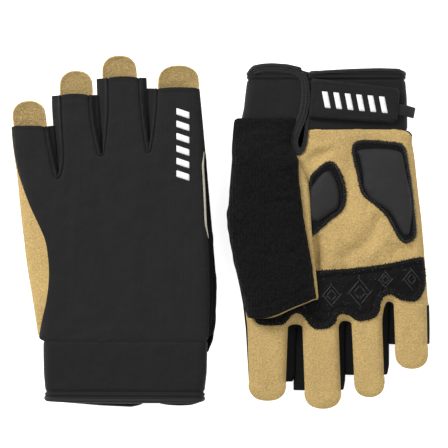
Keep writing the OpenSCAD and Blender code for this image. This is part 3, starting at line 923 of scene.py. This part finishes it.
THENAR_BORDER = ((9.0, 29.0), (7.8, 26.0), (5.5, 23.5), (1.5, 20.0), (-1.5, 18.6), (-4.5, 19.5),
                 (-7.8, 23.5), (-10.2, 29.5), (-11.4, 36.5), (-10.9, 42.5), (-8.5, 47.0), (-3.5, 50.8),
                 (1.5, 55.4), (6.5, 59.8), (9.6, 60.6), (10.2, 45))
THENAR_FOAM = ((6.2, 30.4), (2.5, 26.0), (-0.5, 24.2), (-3.5, 25.6), (-6.4, 31.5), (-7.5, 38.5),
               (-6.5, 44.5), (-2.5, 47.7), (1.5, 50.5), (5.0, 52.4), (8.5, 50), (9, 36))
HEEL_BORDER = ((-14.6, 12), (-16.5, 7.9), (-22.5, 6.6), (-33.5, 7.5), (-41.5, 8.5), (-44.6, 11.5),
               (-46.6, 21.5), (-48.6, 34.5), (-49.8, 46.5), (-50.8, 57.5), (-49.5, 62.2), (-45.5, 64.4),
               (-42.2, 63.2), (-39, 58.5), (-35.5, 51.8), (-31.5, 46.5), (-26.5, 42.3), (-21.8, 38.5),
               (-19.6, 35.5), (-18, 28.5), (-16.4, 21.5))
HEEL_FOAM = ((-18.5, 12.4), (-31.5, 11.5), (-40.5, 13.0), (-43.4, 16.5), (-45.2, 26.5), (-47.4, 36.5),
             (-48.2, 46.5), (-47.6, 54.5), (-46.4, 59.4), (-43.6, 59.6), (-40.4, 54.5), (-36.5, 47.6),
             (-31.4, 43.6), (-25.6, 39.4), (-21.6, 33.5), (-20.6, 24.5), (-19.0, 16.5))


def cap_solid(loop, base, rise, step, sink=0.5):
    """A closed form on a height field: base(points) below, lifted by rise(points, distance) above."""
    flat, faces = fill(loop, (), step)
    d = nearest(flat, spaced(closed(loop), len(loop) * 3))[0]
    under = base(flat)
    top = np.column_stack([flat, under + rise(flat, d)])
    low = np.column_stack([flat, under - sink])
    n = len(flat)
    edges = {(a, b) for f in faces for a, b in zip(f, f[1:] + f[:1])}
    rim = [(a, b) for a, b in edges if (b, a) not in edges]
    faces = faces + [tuple(i + n for i in reversed(f)) for f in faces]
    faces += [(b, a, a + n, b + n) for a, b in sorted(rim)]
    return np.vstack([top, low]), faces


def build_pads(glove):
    """The stitched borders and crowned foam of the thenar and heel pads."""
    palm = glove.front.height
    for name, border, foam in (("thenar_pad", THENAR_BORDER, THENAR_FOAM),
                               ("heel_pad", HEEL_BORDER, HEEL_FOAM)):
        outer, inner = smooth_loop(border, 5), smooth_loop(foam, 5)

        def border_rise(p, d, inner=inner):
            # a rolled outer edge, and a channel where the foam's edge is sewn down
            channel = 0.5 * np.exp(-(nearest(p, inner)[0] / 0.8) ** 2)
            return 0.95 * dome(d / 1.1) + 0.22 * np.exp(-((d - 1.5) / 0.7) ** 2) - channel

        def foam_rise(p, d):
            return 0.4 + 2.3 * dome(d / 1.9) + 0.55 * np.clip(d / 11, 0, 1) + 0.08 * bumps(p, 6, 2.2)

        glove.piece(f"{name}_edge", *cap_solid(outer, palm, border_rise, 1.1), "patch_black", "hand",
                    [f"{name}_border"])
        verts, faces = cap_solid(inner, palm, foam_rise, 1.1)
        # only the top swells: the rim and the underside, which is the second half, are held
        held = (nearest(verts[:, :2], inner)[0] < 0.9) | (np.arange(len(verts)) >= len(verts) // 2)
        verts = settle(verts, faces, held, pressure=3.0, cap=0.9)
        pad = glove.piece(f"{name}_cushion", verts, faces, "foam_grey", "hand", [f"{name}_foam"])
        glove.piece(f"{name}_overcast", *overcast(outer, palm, 1.25, 2.3, 0.75), "pad_thread", "hand")
        line = inward(inner, -0.9)
        path = np.column_stack([line, palm(line) + 0.75])
        glove.piece(f"{name}_inner_stitches", *stitches(path, upright(path), 1.9, 1.3, 0.22),
                    "thread_black", "hand")


def inward(loop, distance):
    """A closed loop moved inward by a distance, closed again at its first point."""
    line = spaced(closed(loop), len(loop))[:-1]
    after = np.roll(line, -1, axis=0)
    ahead = unit(after - np.roll(line, 1, axis=0))
    area = np.sum(line[:, 0] * after[:, 1] - after[:, 0] * line[:, 1])
    side = np.column_stack([-ahead[:, 1], ahead[:, 0]]) * (1 if area > 0 else -1)
    return closed(line + side * distance)


def overcast(loop, base, pitch, length, lift):
    """Threads sewn across an edge, side by side all the way round a loop."""
    rim = inward(loop, 0.7)
    line = spaced(rim, int(length_of(rim) / pitch))
    ahead = unit(np.roll(line[:-1], -1, axis=0) - np.roll(line[:-1], 1, axis=0))
    centre = loop.mean(0)
    hand_made = np.random.default_rng(3)
    parts = []
    for p, t in zip(line[:-1], ahead):
        lean, longer, higher = hand_made.uniform((0.0, -0.15, -0.15), (0.8, 0.1, 0.15))
        across = np.array([-t[1], t[0]])
        across = across * (1 if (centre - p) @ across > 0 else -1)      # from outside to inside
        side = across + t * lean
        a, b = p - side * length * (0.5 + longer), p + side * length / 2
        path = np.array([a, p - side * length * 0.2, p + side * length * 0.15, b])
        z = base(path) + np.array([0.1, lift + 0.3, lift + 0.45, lift]) + higher
        parts.append(sweep(np.column_stack([path, z]), upright(path), rounded_bar(0.62, 0.5, 0.22, 1)))
    return joined(parts)


KNUCKLE_TOP = ((41, 86), (22, 82), (5.5, 80), (-13.5, 78.7), (-33.5, 76.2), (-49, 73), (-54.9, 72.3))
KNUCKLE_LOW = ((-56.2, 81.5), (-55.6, 90), (-51.0, 96.6), (-43.5, 96.4), (-40, 95.0), (-37, 93.2),
               (-33.5, 93.8), (-31, 96.9), (-29.9, 102.9), (-26.9, 106.4), (-20.5, 107.9), (-16.5, 107.4),
               (-14, 105.4), (-10, 103.9), (-7, 104.9), (-4.9, 109.4), (-0.9, 112.0), (5.5, 112.4),
               (9, 110), (11.6, 106.4), (14, 104.1), (16.5, 103.6), (19.5, 105), (22, 108.4),
               (25.5, 110.2), (35.5, 110.2), (39.5, 107.9), (43, 98))

GRIP_SLOPE = 1.15       # rise of the lines of the embossed lattice
GRIP_PITCH = 6.2        # distance between them

# printed diamonds: centre and half width
DIAMONDS = ((-48.0, 84.5, 4.4), (-33.4, 84.8, 3.6), (-19.0, 92.0, 6.0), (-3.2, 93.6, 4.8), (12.5, 92.5, 6.0),
            (28.0, 95.0, 6.0))


def lattice(p, slope):
    """Distance from the nearest line of one family of the embossed lattice."""
    across = (p[:, 1] - slope * p[:, 0]) / math.hypot(1, slope)
    return np.abs((across / GRIP_PITCH + 0.5) % 1 - 0.5) * GRIP_PITCH


def build_knuckle_patch(glove):
    """The grip patch across the knuckle line: a rolled edge, and a middle embossed with a faint lattice
    and printed with diamonds and beads."""
    loop = np.vstack([smooth(KNUCKLE_TOP, 8), smooth(KNUCKLE_LOW, 5)])
    palm = glove.front.height

    def rise(p, d):
        edge = 0.55 * np.exp(-((d - 1.7) / 1.3) ** 2) - 0.35 * np.exp(-((d - 3.9) / 0.6) ** 2)
        cells = np.minimum(dome(lattice(p, GRIP_SLOPE) / 2.6), dome(lattice(p, -GRIP_SLOPE) / 2.6))
        return (0.35 + 0.45 * dome(d / 1.0) + edge + 0.4 * cells * np.clip((d - 3.9) / 2, 0, 1)
                + 0.3 * bumps(p, 2.6, 4.0))

    def top(p):
        return palm(p) + rise(p, nearest(p, loop)[0])

    glove.piece("knuckle_grip", *cap_solid(loop, palm, rise, 0.95), "patch_black", "hand", ["knuckle_patch"])
    glove.piece("knuckle_overcast", *overcast(loop, palm, 1.5, 2.2, 0.95), "thread_black", "hand")
    parts = diamond_lines(inward(loop, 3.0)[:-1], top) + grip_beads(loop, top)
    glove.piece("knuckle_print", *joined(parts), "grip_lines", "hand")


def diamond_lines(field, top):
    """Printed lines of the diamonds, every one with a smaller one inside, where they lie in the field."""
    parts = []
    for cx, cy, size in DIAMONDS:
        for scale, overrun in ((1.0, 0.18), (0.55, -0.07)):
            corners = [np.array((cx + size * scale * a, cy + size * 1.2 * scale * b))
                       for a, b in ((1, 0), (0, 1), (-1, 0), (0, -1))]
            for a, b in zip(corners, corners[1:] + corners[:1]):
                line = spaced([a + (b - a) * 0.07, b + (b - a) * overrun], 6)
                if inside(line, field).all():
                    path = np.column_stack([line, top(line) + 0.05])
                    parts.append(sweep(path, upright(path), rounded_bar(0.3, 0.36, 0.1, 1)))
    return parts


def grip_beads(loop, top):
    """Small six-sided beads, dense along the rolled edge of a loop and sparse inside it."""
    scatter = np.random.default_rng(7)
    rim = inward(loop, 2.2)
    rim = spaced(rim, int(length_of(rim) / 2.2))
    rim = rim + scatter.uniform(-1.5, 1.5, rim.shape)
    places = np.vstack([rim, scatter.uniform(loop.min(0), loop.max(0), (200, 2))])
    places = places[inside(places, inward(loop, 0.7)[:-1])]
    ring = np.array([(math.cos(a), math.sin(a)) for a in np.linspace(0, 2 * math.pi, 7)[:-1]])
    faces = [(k * 6 + i, k * 6 + (i + 1) % 6, (k + 1) * 6 + (i + 1) % 6, (k + 1) * 6 + i)
             for k in range(2) for i in range(6)]
    faces += [(12, 13, 14, 15, 16, 17), (5, 4, 3, 2, 1, 0)]
    parts = []
    for (x, y), z in zip(places, top(places)):
        size = scatter.uniform(0.12, 0.34)
        verts = np.vstack([np.column_stack([ring * size * r + (x, y), np.full(6, z + size * h)])
                           for r, h in ((1.0, -0.3), (0.8, 0.4), (0.3, 0.8))])
        parts.append((verts, faces))
    return parts


# ---- cuff ----

def vent_path():
    """Centre line of the tape along the vent: down the thumb-side flap, round the end and back up."""
    return smooth([(40.5, -31.6), (36.0, -32.9), (29.0, -33.2), (21.6, -32.6), (16.2, -30.9), (12.9, -28.2),
                   (11.5, -24.0), (11.3, -18), (11.9, -12), (13.3, -6.5), (15.6, -1), (17.6, 4.5), (17.9, 9),
                   (16.2, 12.9), (13.3, 12.0), (11.8, 8), (11.0, 3), (10.5, -3), (10.2, -8)], 6)


def cuff_ring(glove, v):
    """Points round the cuff at v from 0, the wrist, to 1, the mouth, starting and ending at the slit."""
    y = -CUFF_LENGTH * v
    thumb_x = np.interp(y, *zip(*glove.data["cuff_thumb"]))
    little_x = -np.interp(y, (-34, -27.7, -19, 0), (44.5, 44.9, 45.7, 46.1))
    slit_low = np.interp(y, (-31, -27, -8, -3, 0), (8.6, 9.4, 9.7, 10.4, 10.6))
    slit_high = np.interp(y, (-31, -27, -22, -14, -8, -2, 0), (14.0, 12.3, 11.4, 11.7, 12.9, 15.2, 16.2))
    r = 4.7         # reach of the rounded sides
    top, low = PALM_LEVEL - 0.1, 0.1
    half, mid = (top - low) / 2, (top + low) / 2
    turn = np.radians(np.linspace(90, 270, 15))
    spans = [np.linspace((slit_low, top), (little_x + r, top), 25),
             np.column_stack([little_x + r + r * np.cos(turn), mid + half * np.sin(turn)])[1:],
             np.linspace((little_x + r, low), (thumb_x - r, low), 41)[1:],
             np.column_stack([thumb_x - r - r * np.cos(turn), mid - half * np.sin(turn)])[1:],
             np.linspace((thumb_x - r, top), (slit_high, top), 17)[1:]]
    xz = np.vstack(spans)
    front = (xz[:, 1] - low) / (top - low)
    end_front = np.interp(xz[:, 0], *zip(*glove.data["mouth_front"]))
    end_back = np.interp(xz[:, 0], *zip(*glove.data["mouth_back"]))
    end = end_front * front + end_back * (1 - front)
    yy = 1.2 + (end - 1.2) * v
    away = (xz[:, 1] - mid) / half
    # the neoprene dips into the wrist seam, and a groove sets the taped mouth off from the band
    lift = (0.3 * bumps(np.column_stack([xz[:, 0], yy]), 17, 4.4) - 0.9 * (1 - dome((1.2 - yy) / 2.4))
            - 0.55 * np.exp(-((yy + 27.2) / 0.7) ** 2) + 0.5 / (1 + np.exp((yy + 28.0) * 5))
            - 0.5 * np.exp(-((yy + 29.8) / 0.45) ** 2))
    side = np.sign(xz[:, 0]) * np.sqrt(np.clip(1 - away ** 2, 0, 1))
    return np.column_stack([xz[:, 0] + side * lift, yy, xz[:, 1] + away * lift])


def build_cuff(glove):
    """The cuff band with its two palm halves, the elastic tape round its mouth and the vent."""
    # finer steps where the band dips into the wrist seam and where the mouth's groove runs
    levels = np.concatenate([[0, 0.02, 0.045, 0.075], np.linspace(0.12, 0.78, 12), np.linspace(0.8, 1, 19)])
    rings = [cuff_ring(glove, v) for v in levels]
    grid = np.stack(rings, axis=1)
    rows, cols = grid.shape[:2]
    verts, faces = grid.reshape(-1, 3), grid_faces(rows, cols)
    normals = vertex_normals(verts, faces)
    if normals[(rows // 2) * cols + 5][2] > 0:      # the middle of the back faces down
        faces = [f[::-1] for f in faces]
        normals = -normals
    v, f, n = thicken(verts, faces, normals, NEOPRENE)
    glove.piece("cuff_shell", v, f, "cuff_black", "hand", ["cuff_band", "cuff_palm"], n)

    edge_normals = normals.reshape(rows, cols, 3)[:, -1]
    mouth_tape = sweep(rings[-1] + edge_normals * -0.9, edge_normals, rounded_bar(2.6, 2.8, 1.1))
    glove.piece("cuff_tape", *joined([mouth_tape, vent_tape()]), "tape_black", "hand", ["cuff_binding"])
    ring = cuff_ring(glove, 0.80)[2:-2]
    out = unit(np.cross(np.gradient(ring, axis=0), np.array([0, 1.0, 0])))
    if out[len(out) // 2][2] > 0:
        out = -out
    glove.piece("cuff_topstitch", *stitches(ring + out * 0.02, out, 2.6, 1.9, 0.2), "thread_black", "hand")


# cross-section of the tape along the vent, as (share of its width, height): three ribs and two grooves
TAPE_RIBS = [(0.5, -0.9), (0.5, 0.1), (0.46, 0.5), (0.36, 0.78), (0.16, 0.75), (0.05, 0.2), (-0.05, 0.72),
             (-0.19, 0.62), (-0.27, 0.15), (-0.36, 0.6), (-0.44, 0.55), (-0.5, 0.25), (-0.5, -0.9)]


def vent_tape():
    """The tape that binds the flap's edge and the vent: widest along the flap, narrow on the way back."""
    line = vent_path()
    along = np.arange(len(line)) / (len(line) - 1)
    width = np.interp(along, (0, 0.25, 0.4, 0.6, 0.72, 0.8, 1), (4.0, 4.3, 5.5, 5.5, 4.8, 2.4, 2.0))
    path = np.column_stack([line, np.full(len(line), PALM_LEVEL + 0.15)])
    verts, faces = sweep(path, upright(line), TAPE_RIBS)
    shape = verts.reshape(len(line), len(TAPE_RIBS), 3)
    shape[..., :2] = line[:, None] + (shape[..., :2] - line[:, None]) * width[:, None, None]
    # past the vent's end the tape dives under the strap
    shape[..., 2] -= np.clip((along - 0.88) * 8, 0, 1)[:, None] * 0.9
    return shape.reshape(-1, 3), faces


# ---- strap ----

def strap_to_glove(u, w):
    """From the strap's own frame, u along it and w across it, to glove x and y."""
    c, s = math.cos(STRAP_SLOPE), math.sin(STRAP_SLOPE)
    return np.column_stack([STRAP_HINGE[0] - u * c + w * s, STRAP_HINGE[1] + u * s + w * c])


def strap_base(u):
    """z of the strap's underside at u along it."""
    return 12.55 + 0.25 * np.sin(u / 17) - 0.8 * np.exp(-(u / 5) ** 2)


def strap_outline():
    """The strap's outline in its own frame, with a rounded free end."""
    r = 4.0
    a = np.radians(np.linspace(90, 0, 9))
    corner = np.column_stack([STRAP_END - r + r * np.cos(a), STRAP_END_HALF - r + r * np.sin(a)])
    end = np.vstack([corner, spaced([corner[-1], corner[-1] * (1, -1)], 8)[1:-1], corner[::-1] * (1, -1)])
    low = spaced([end[-1], (STRAP_START, -STRAP_ROOT_HALF)], 30)[1:]
    close = spaced([low[-1], (STRAP_START, STRAP_ROOT_HALF)], 14)[1:]
    high = spaced([close[-1], end[0]], 30)[1:-1]
    return np.vstack([end, low, close, high])


def in_strap_frame(verts, base):
    """Bends a solid drawn flat in the strap's frame onto the strap's line."""
    xy = strap_to_glove(verts[:, 0], verts[:, 1])
    return np.column_stack([xy, verts[:, 2] + base(verts[:, 0])])


def motif(count, pitch, width, height, slant):
    """Plain slanted bars in a row, standing in for the white print: outlines in their own plane."""
    bars = []
    for k in range(count):
        c = (k - (count - 1) / 2) * pitch
        corners = np.array([(c + x * width / 2 + y * slant / 2, y * height / 2)
                            for x, y in ((-1, -1), (1, -1), (1, 1), (-1, 1))])
        # each side stops short of its corners, which rounds them off
        bars.append(np.vstack([spaced([a + (b - a) * 0.06, b - (b - a) * 0.06], 5)
                               for a, b in zip(corners, np.roll(corners, -1, axis=0))]))
    return bars


def level(height):
    """A flat base for cap_solid at a height."""
    return lambda p: np.full(len(p), height)


def build_strap(glove):
    """The wrist strap with its hook patch, pull tab, loop patch and printed bars."""
    outline = strap_outline()

    def swell(p):
        return 0.12 * bumps(p, 9, 6.1)

    def rise(p, d):
        welt = 0.22 * np.exp(-((d - 0.9) / 0.7) ** 2) - 0.25 * np.exp(-((d - 2.2) / 0.35) ** 2)
        return STRAP_TOP * dome(d / 0.9) + welt + swell(p)

    verts, faces = cap_solid(outline, level(0.0), rise, 1.1, 0.0)
    verts = in_strap_frame(verts, strap_base)
    glove.piece("strap_band", verts, faces, "cuff_black", "strap", ["wrist_strap"])

    loop = inward(outline, 2.2)
    path = in_strap_frame(np.column_stack([loop, np.full(len(loop), 1.78)]), strap_base)
    glove.piece("strap_stitches", *stitches(path, upright(path), 2.4, 1.7, 0.2), "thread_black", "strap")

    parts = []
    for bar in motif(6, 6.4, 3.2, 9.0, 2.6):
        v, f = cap_solid(bar + (27.0, 0.3), lambda p: STRAP_TOP + swell(p),
                         lambda p, d: 0.14 * dome(d / 0.3), 1.3, 0.1)
        parts.append((in_strap_frame(v, strap_base), f))
    glove.piece("strap_print", *joined(parts), "print_white", "strap")

    for name, node, body, base, low, high in (("hook_pad", "hook_patch", "strap", 12.15, 27, 48),
                                              ("loop_pad", "loop_patch", "hand", 11.2, 9, 47)):
        corners = [(low, -8.5), (high, -8.5), (high, 8.5), (low, 8.5)]
        box = np.vstack([spaced([a, b], steps)[:-1]
                         for a, b, steps in zip(corners, corners[1:] + corners[:1], (14, 10, 14, 10))])
        v, f = cap_solid(box, level(0.0), lambda p, d: 0.55 * dome(d / 0.6) + 0.06 * bumps(p, 1.1, 3.0),
                         1.2, 0.2)
        glove.piece(name, in_strap_frame(v, level(base)), f, "velcro_black", body, [node])

    # the pull tab is a short folded tape that hangs over the cuff's edge
    reach = 60.8 if glove.side == "right" else 56.6
    tab = smooth([(49.0, -1.0), (reach - 7.0, -1.2), (reach - 4.5, -1.4), (reach - 2.2, -2.4),
                  (reach, -4.0)], 6)
    drift = np.interp(tab[:, 0], (49, 55, 61), (2.0, 2.2, 3.2))
    path = in_strap_frame(np.column_stack([tab[:, 0], drift, tab[:, 1]]), level(12.9))
    side = np.array([math.sin(STRAP_SLOPE), math.cos(STRAP_SLOPE), 0])
    up = unit(np.cross(np.gradient(path, axis=0), -side))
    if up[0][2] < 0:
        up = -up
    glove.piece("strap_pull_tab", *sweep(path, up, rounded_bar(6.2, 1.4, 0.6)), "tape_black", "strap",
                ["pull_tab"])


# ---- thumb ----

def thumb_top(p, sides, ends):
    """z of the thumb's knit: a flattened tube that runs down to the cuff at the wrist."""
    d = nearest(p, sides)[0]
    tube = 13.4 + 6.4 * dome(d / 9.0)
    wrist = np.clip((p[:, 1] + 5.5) / 26, 0, 1)
    wrist = wrist * wrist * (3 - 2 * wrist)
    z = 12.3 + (tube - 12.3) * (0.2 + 0.8 * wrist) - 0.9 * (1 - dome((p[:, 1] + 5.5) / 2.5))
    z += np.clip(d / 5, 0, 1) * (0.5 * bumps(p, 24, 8.8) + 0.28 * bumps(p, 9, 2.4))
    for a, b, w, depth in (((44, 36), (24, 50), 3.2, -0.5), ((20, 30), (34, 22), 3.0, 0.4),
                           ((46, 62), (30, 74), 3.0, -0.4), ((16, 72), (20, 92), 3.0, 0.35)):
        z += crease(p, a, b, w, depth)
    hem = nearest(p, ends)[0]
    z += 0.45 * (1 / (1 + np.exp((hem - 6.0) * 3))) - 0.3 * np.exp(-((hem - 6.3) / 0.6) ** 2)
    return z


def build_thumb(glove):
    """The folded thumb: terry knit on top, tan leather below, open at its hem."""
    data = glove.data
    outer, inner = spaced(smooth(data["thumb_outer"]), 62), spaced(smooth(data["thumb_inner"]), 58)
    hem = spaced(smooth(data["thumb_hem"]), 28)
    # the knit's edges are never quite straight
    from_end = np.minimum(np.arange(63), 62 - np.arange(63))
    fade = np.clip(from_end / 4, 0, 1)
    outer = outer + np.column_stack([0.45 * bumps(outer, 5, 3.3) * fade, np.zeros(63)])
    inner = inner + np.column_stack([0.35 * bumps(inner, 4, 6.3) * fade[:59] * fade[4:], np.zeros(59)])
    wrist = spaced([inner[0], outer[0]], 18)
    loop = np.vstack([wrist[:-1], outer[:-1], hem[:-1], inner[::-1][:-1]])
    sides = np.vstack([outer, inner])
    flat, faces = fill(loop, (), 1.25)
    z = thumb_top(flat, sides, hem)
    pile = 0.22 * bumps(flat, 2.3, 12.0) + 0.12 * bumps(flat, 1.1, 15.0)
    verts = np.column_stack([flat, z + pile])
    held = (nearest(flat, sides)[0] < 2.0) | (nearest(flat, wrist)[0] < 3.0) | (nearest(flat, hem)[0] < 2.0)
    verts = settle(verts, faces, held, pressure=0.6, growth=0.035, cap=1.3)
    normals = vertex_normals(verts, faces)
    v, f, n = thicken(verts, faces, normals, KNIT)
    glove.piece("thumb_terry", v, f, "terry_black", "thumb", ["thumb_knit"], n)

    # the leather front shows past the knit on its inner side and at the hem
    strip = spaced(smooth(data["thumb_strip"]), 50)
    rim = outer[outer[:, 1] > strip[0][1] + 5] - (3.6, 0)
    edge_hem = hem + np.linspace((-3.6, 0.6), (0, 1.4), len(hem))
    leather = np.vstack([spaced([strip[0], rim[0]], 16)[:-1], rim[:-1], edge_hem[:-1], strip[::-1][:-1]])

    def rise(p, d):
        return 1.3 * dome(d / 1.0) + 0.15 * bumps(p, 12, 1.0)

    leather = spaced(closed(leather), len(leather))[:-1]
    glove.piece("thumb_front", *cap_solid(leather, level(12.2), rise, 1.6, 0.0), "palm_tan", "thumb",
                ["thumb_leather"])


def build_thumb_web(glove):
    """The stretch web from the palm leather's edge out to the thumb."""
    front = glove.front.edge3("thumb_low")
    outer = smooth(glove.data["thumb_outer"])
    rows = front[front[:, 1] < 100]
    reach = np.interp(rows[:, 1], outer[:, 1], outer[:, 0])
    side = np.column_stack([reach, rows[:, 1], np.zeros(len(rows))])
    marks = [rows - (0.6, 0, -0.3), rows * (0.35, 1, 0) + side * (0.65, 0, 0) + (0, 0, 9.0),
             *[side + (x, 0, z) for x, z in ((-1.2, 11.0), (-1.6, 12.9), (-3.0, 14.2))]]
    grid = np.stack(catmull(marks, 3), axis=1)
    verts, faces = grid.reshape(-1, 3), grid_faces(*grid.shape[:2])
    v, f, n = thicken(verts, faces, vertex_normals(verts, faces), WEB)
    # the web takes the darker stretch copy: painted shade under the thumb
    glove.piece("thumb_web", v, f, "stretch_black_painted_shade", "hand", [], n, ("thumb", (50, 50, 8.6), (50, 50, 12.8)))


def build_edge_piping(glove):
    """The raw leather edge that shows along the thumb side, between the back and the gusset."""
    edge = glove.back.parts["thumb_low"]
    low, high = 57.5, 108.4
    line = edge[(edge[:, 1] > low) & (edge[:, 1] < high)]
    along = np.linspace(0, 1, len(line))
    # it thins out and runs off the edge at both ends
    full = np.clip(np.minimum(along, 1 - along) / 0.16, 0, 1)
    line = line + np.column_stack([0.35 - 1.15 * full, 0 * full])
    path = np.column_stack([line, glove.back.height(line) - 0.1])
    up = np.tile((0.35, 0, -1.0), (len(line), 1))
    verts, faces = sweep(path, up, rounded_bar(1.2, 1.0, 0.35, 2))
    shape = verts.reshape(len(line), -1, 3)
    shape = path[:, None] + (shape - path[:, None]) * (0.2 + 0.8 * full)[:, None, None]
    glove.piece("edge_piping", shape.reshape(-1, 3), faces, "leather_edge", "hand")


# ---- print on the back ----

def build_back_print(glove):
    """White bars on the back of the index finger's column."""
    split = glove.fingers["index"]["split"]
    back = glove.back.height
    parts = {"hand": [], "index": []}
    for bar in motif(6, 6.9, 3.6, 7.2, 2.4):
        turned = np.column_stack([32.7 - bar[:, 1], 110.5 + bar[:, 0]])
        v, f = cap_solid(turned, lambda p: -back(p), lambda p, e: 0.16 * dome(e / 0.3), 1.3, 0.1)
        v[:, 2] *= -1
        where = "index" if turned[:, 1].max() > split else "hand"
        parts[where].append((v, [g[::-1] for g in f]))
    blends = {"hand": None, "index": glove.finger_blend("index")}
    for where, name in (("hand", "back_print"), ("index", "index_print")):
        if parts[where]:
            glove.piece(name, *joined(parts[where]), "print_white", "hand", [], None, blends[where])


# ---- stage ----

VIEW_WIDTH = 0.2509             # metres that the camera sees from side to side
VIEW_SHIFT = (0.0011, 0.0043)   # from the pair's middle to the middle of the view


def build_stage():
    """A pale floor, a white world, two soft lights and a camera straight above."""
    size = 3.0
    mesh = bpy.data.meshes.new("floor")
    corners = [(x * size, y * size, 0) for x, y in ((-1, -1), (1, -1), (1, 1), (-1, 1))]
    mesh.from_pydata(corners, [], [(0, 1, 2, 3)])
    floor = add_to_scene("floor", mesh)
    m = bpy.data.materials.new("floor_white")
    m.use_nodes = True
    set_inputs(m.node_tree, m.node_tree.nodes["Principled BSDF"],
               {"Base Color": (0.93, 0.93, 0.93, 1), "Roughness": 0.9, "Emission Color": (1, 1, 1, 1),
                "Emission Strength": 0.8})
    mesh.materials.append(m)
    floor.location.z = -0.0002

    scene = bpy.context.scene
    scene.world = bpy.data.worlds.new("studio")
    scene.world.use_nodes = True
    tree = scene.world.node_tree
    set_inputs(tree, tree.nodes["Background"], {"Color": (1, 1, 1, 1), "Strength": 0.5})
    for name, place, power, width in (("key", (-0.9, 0.9, 1.0), 24, 0.6),
                                      ("fill", (1.0, -0.2, 1.4), 7, 1.2)):
        light = bpy.data.lights.new(name, "AREA")
        light.energy, light.size = power, width
        obj = add_to_scene(name, light)
        obj.location = place
        obj.rotation_euler = (-Vector(place)).to_track_quat("-Z", "Y").to_euler()

    cam = bpy.data.cameras.new("camera")
    cam.lens, cam.sensor_width = 200, 36
    cam.clip_end = 20
    camera = add_to_scene("camera", cam)
    centre = (cad_box[0] + cad_box[1]) / 2
    camera.location = (centre.x + VIEW_SHIFT[0], centre.y + VIEW_SHIFT[1],
                       0.012 + VIEW_WIDTH * cam.lens / cam.sensor_width)
    scene.camera = camera
    scene.view_settings.view_transform = "Standard"


for side in ("left", "right"):
    glove = Glove(side)
    # mesh steps: the left glove's back and the right glove's palm face up and are finer
    front_step, back_step = {"left": (1.9, 1.5), "right": (1.5, 1.9)}[side]
    build_sheet(glove.front, front_step, LEATHER, "palm_tan", "palm", "palm_leather", "front")
    build_sheet(glove.back, back_step, STRETCH, "stretch_black", "back_panel", "hand_back", "back")
    build_walls(glove)
    build_pads(glove)
    build_knuckle_patch(glove)
    build_cuff(glove)
    build_strap(glove)
    build_thumb(glove)
    build_thumb_web(glove)
    build_edge_piping(glove)
    build_back_print(glove)

build_stage()
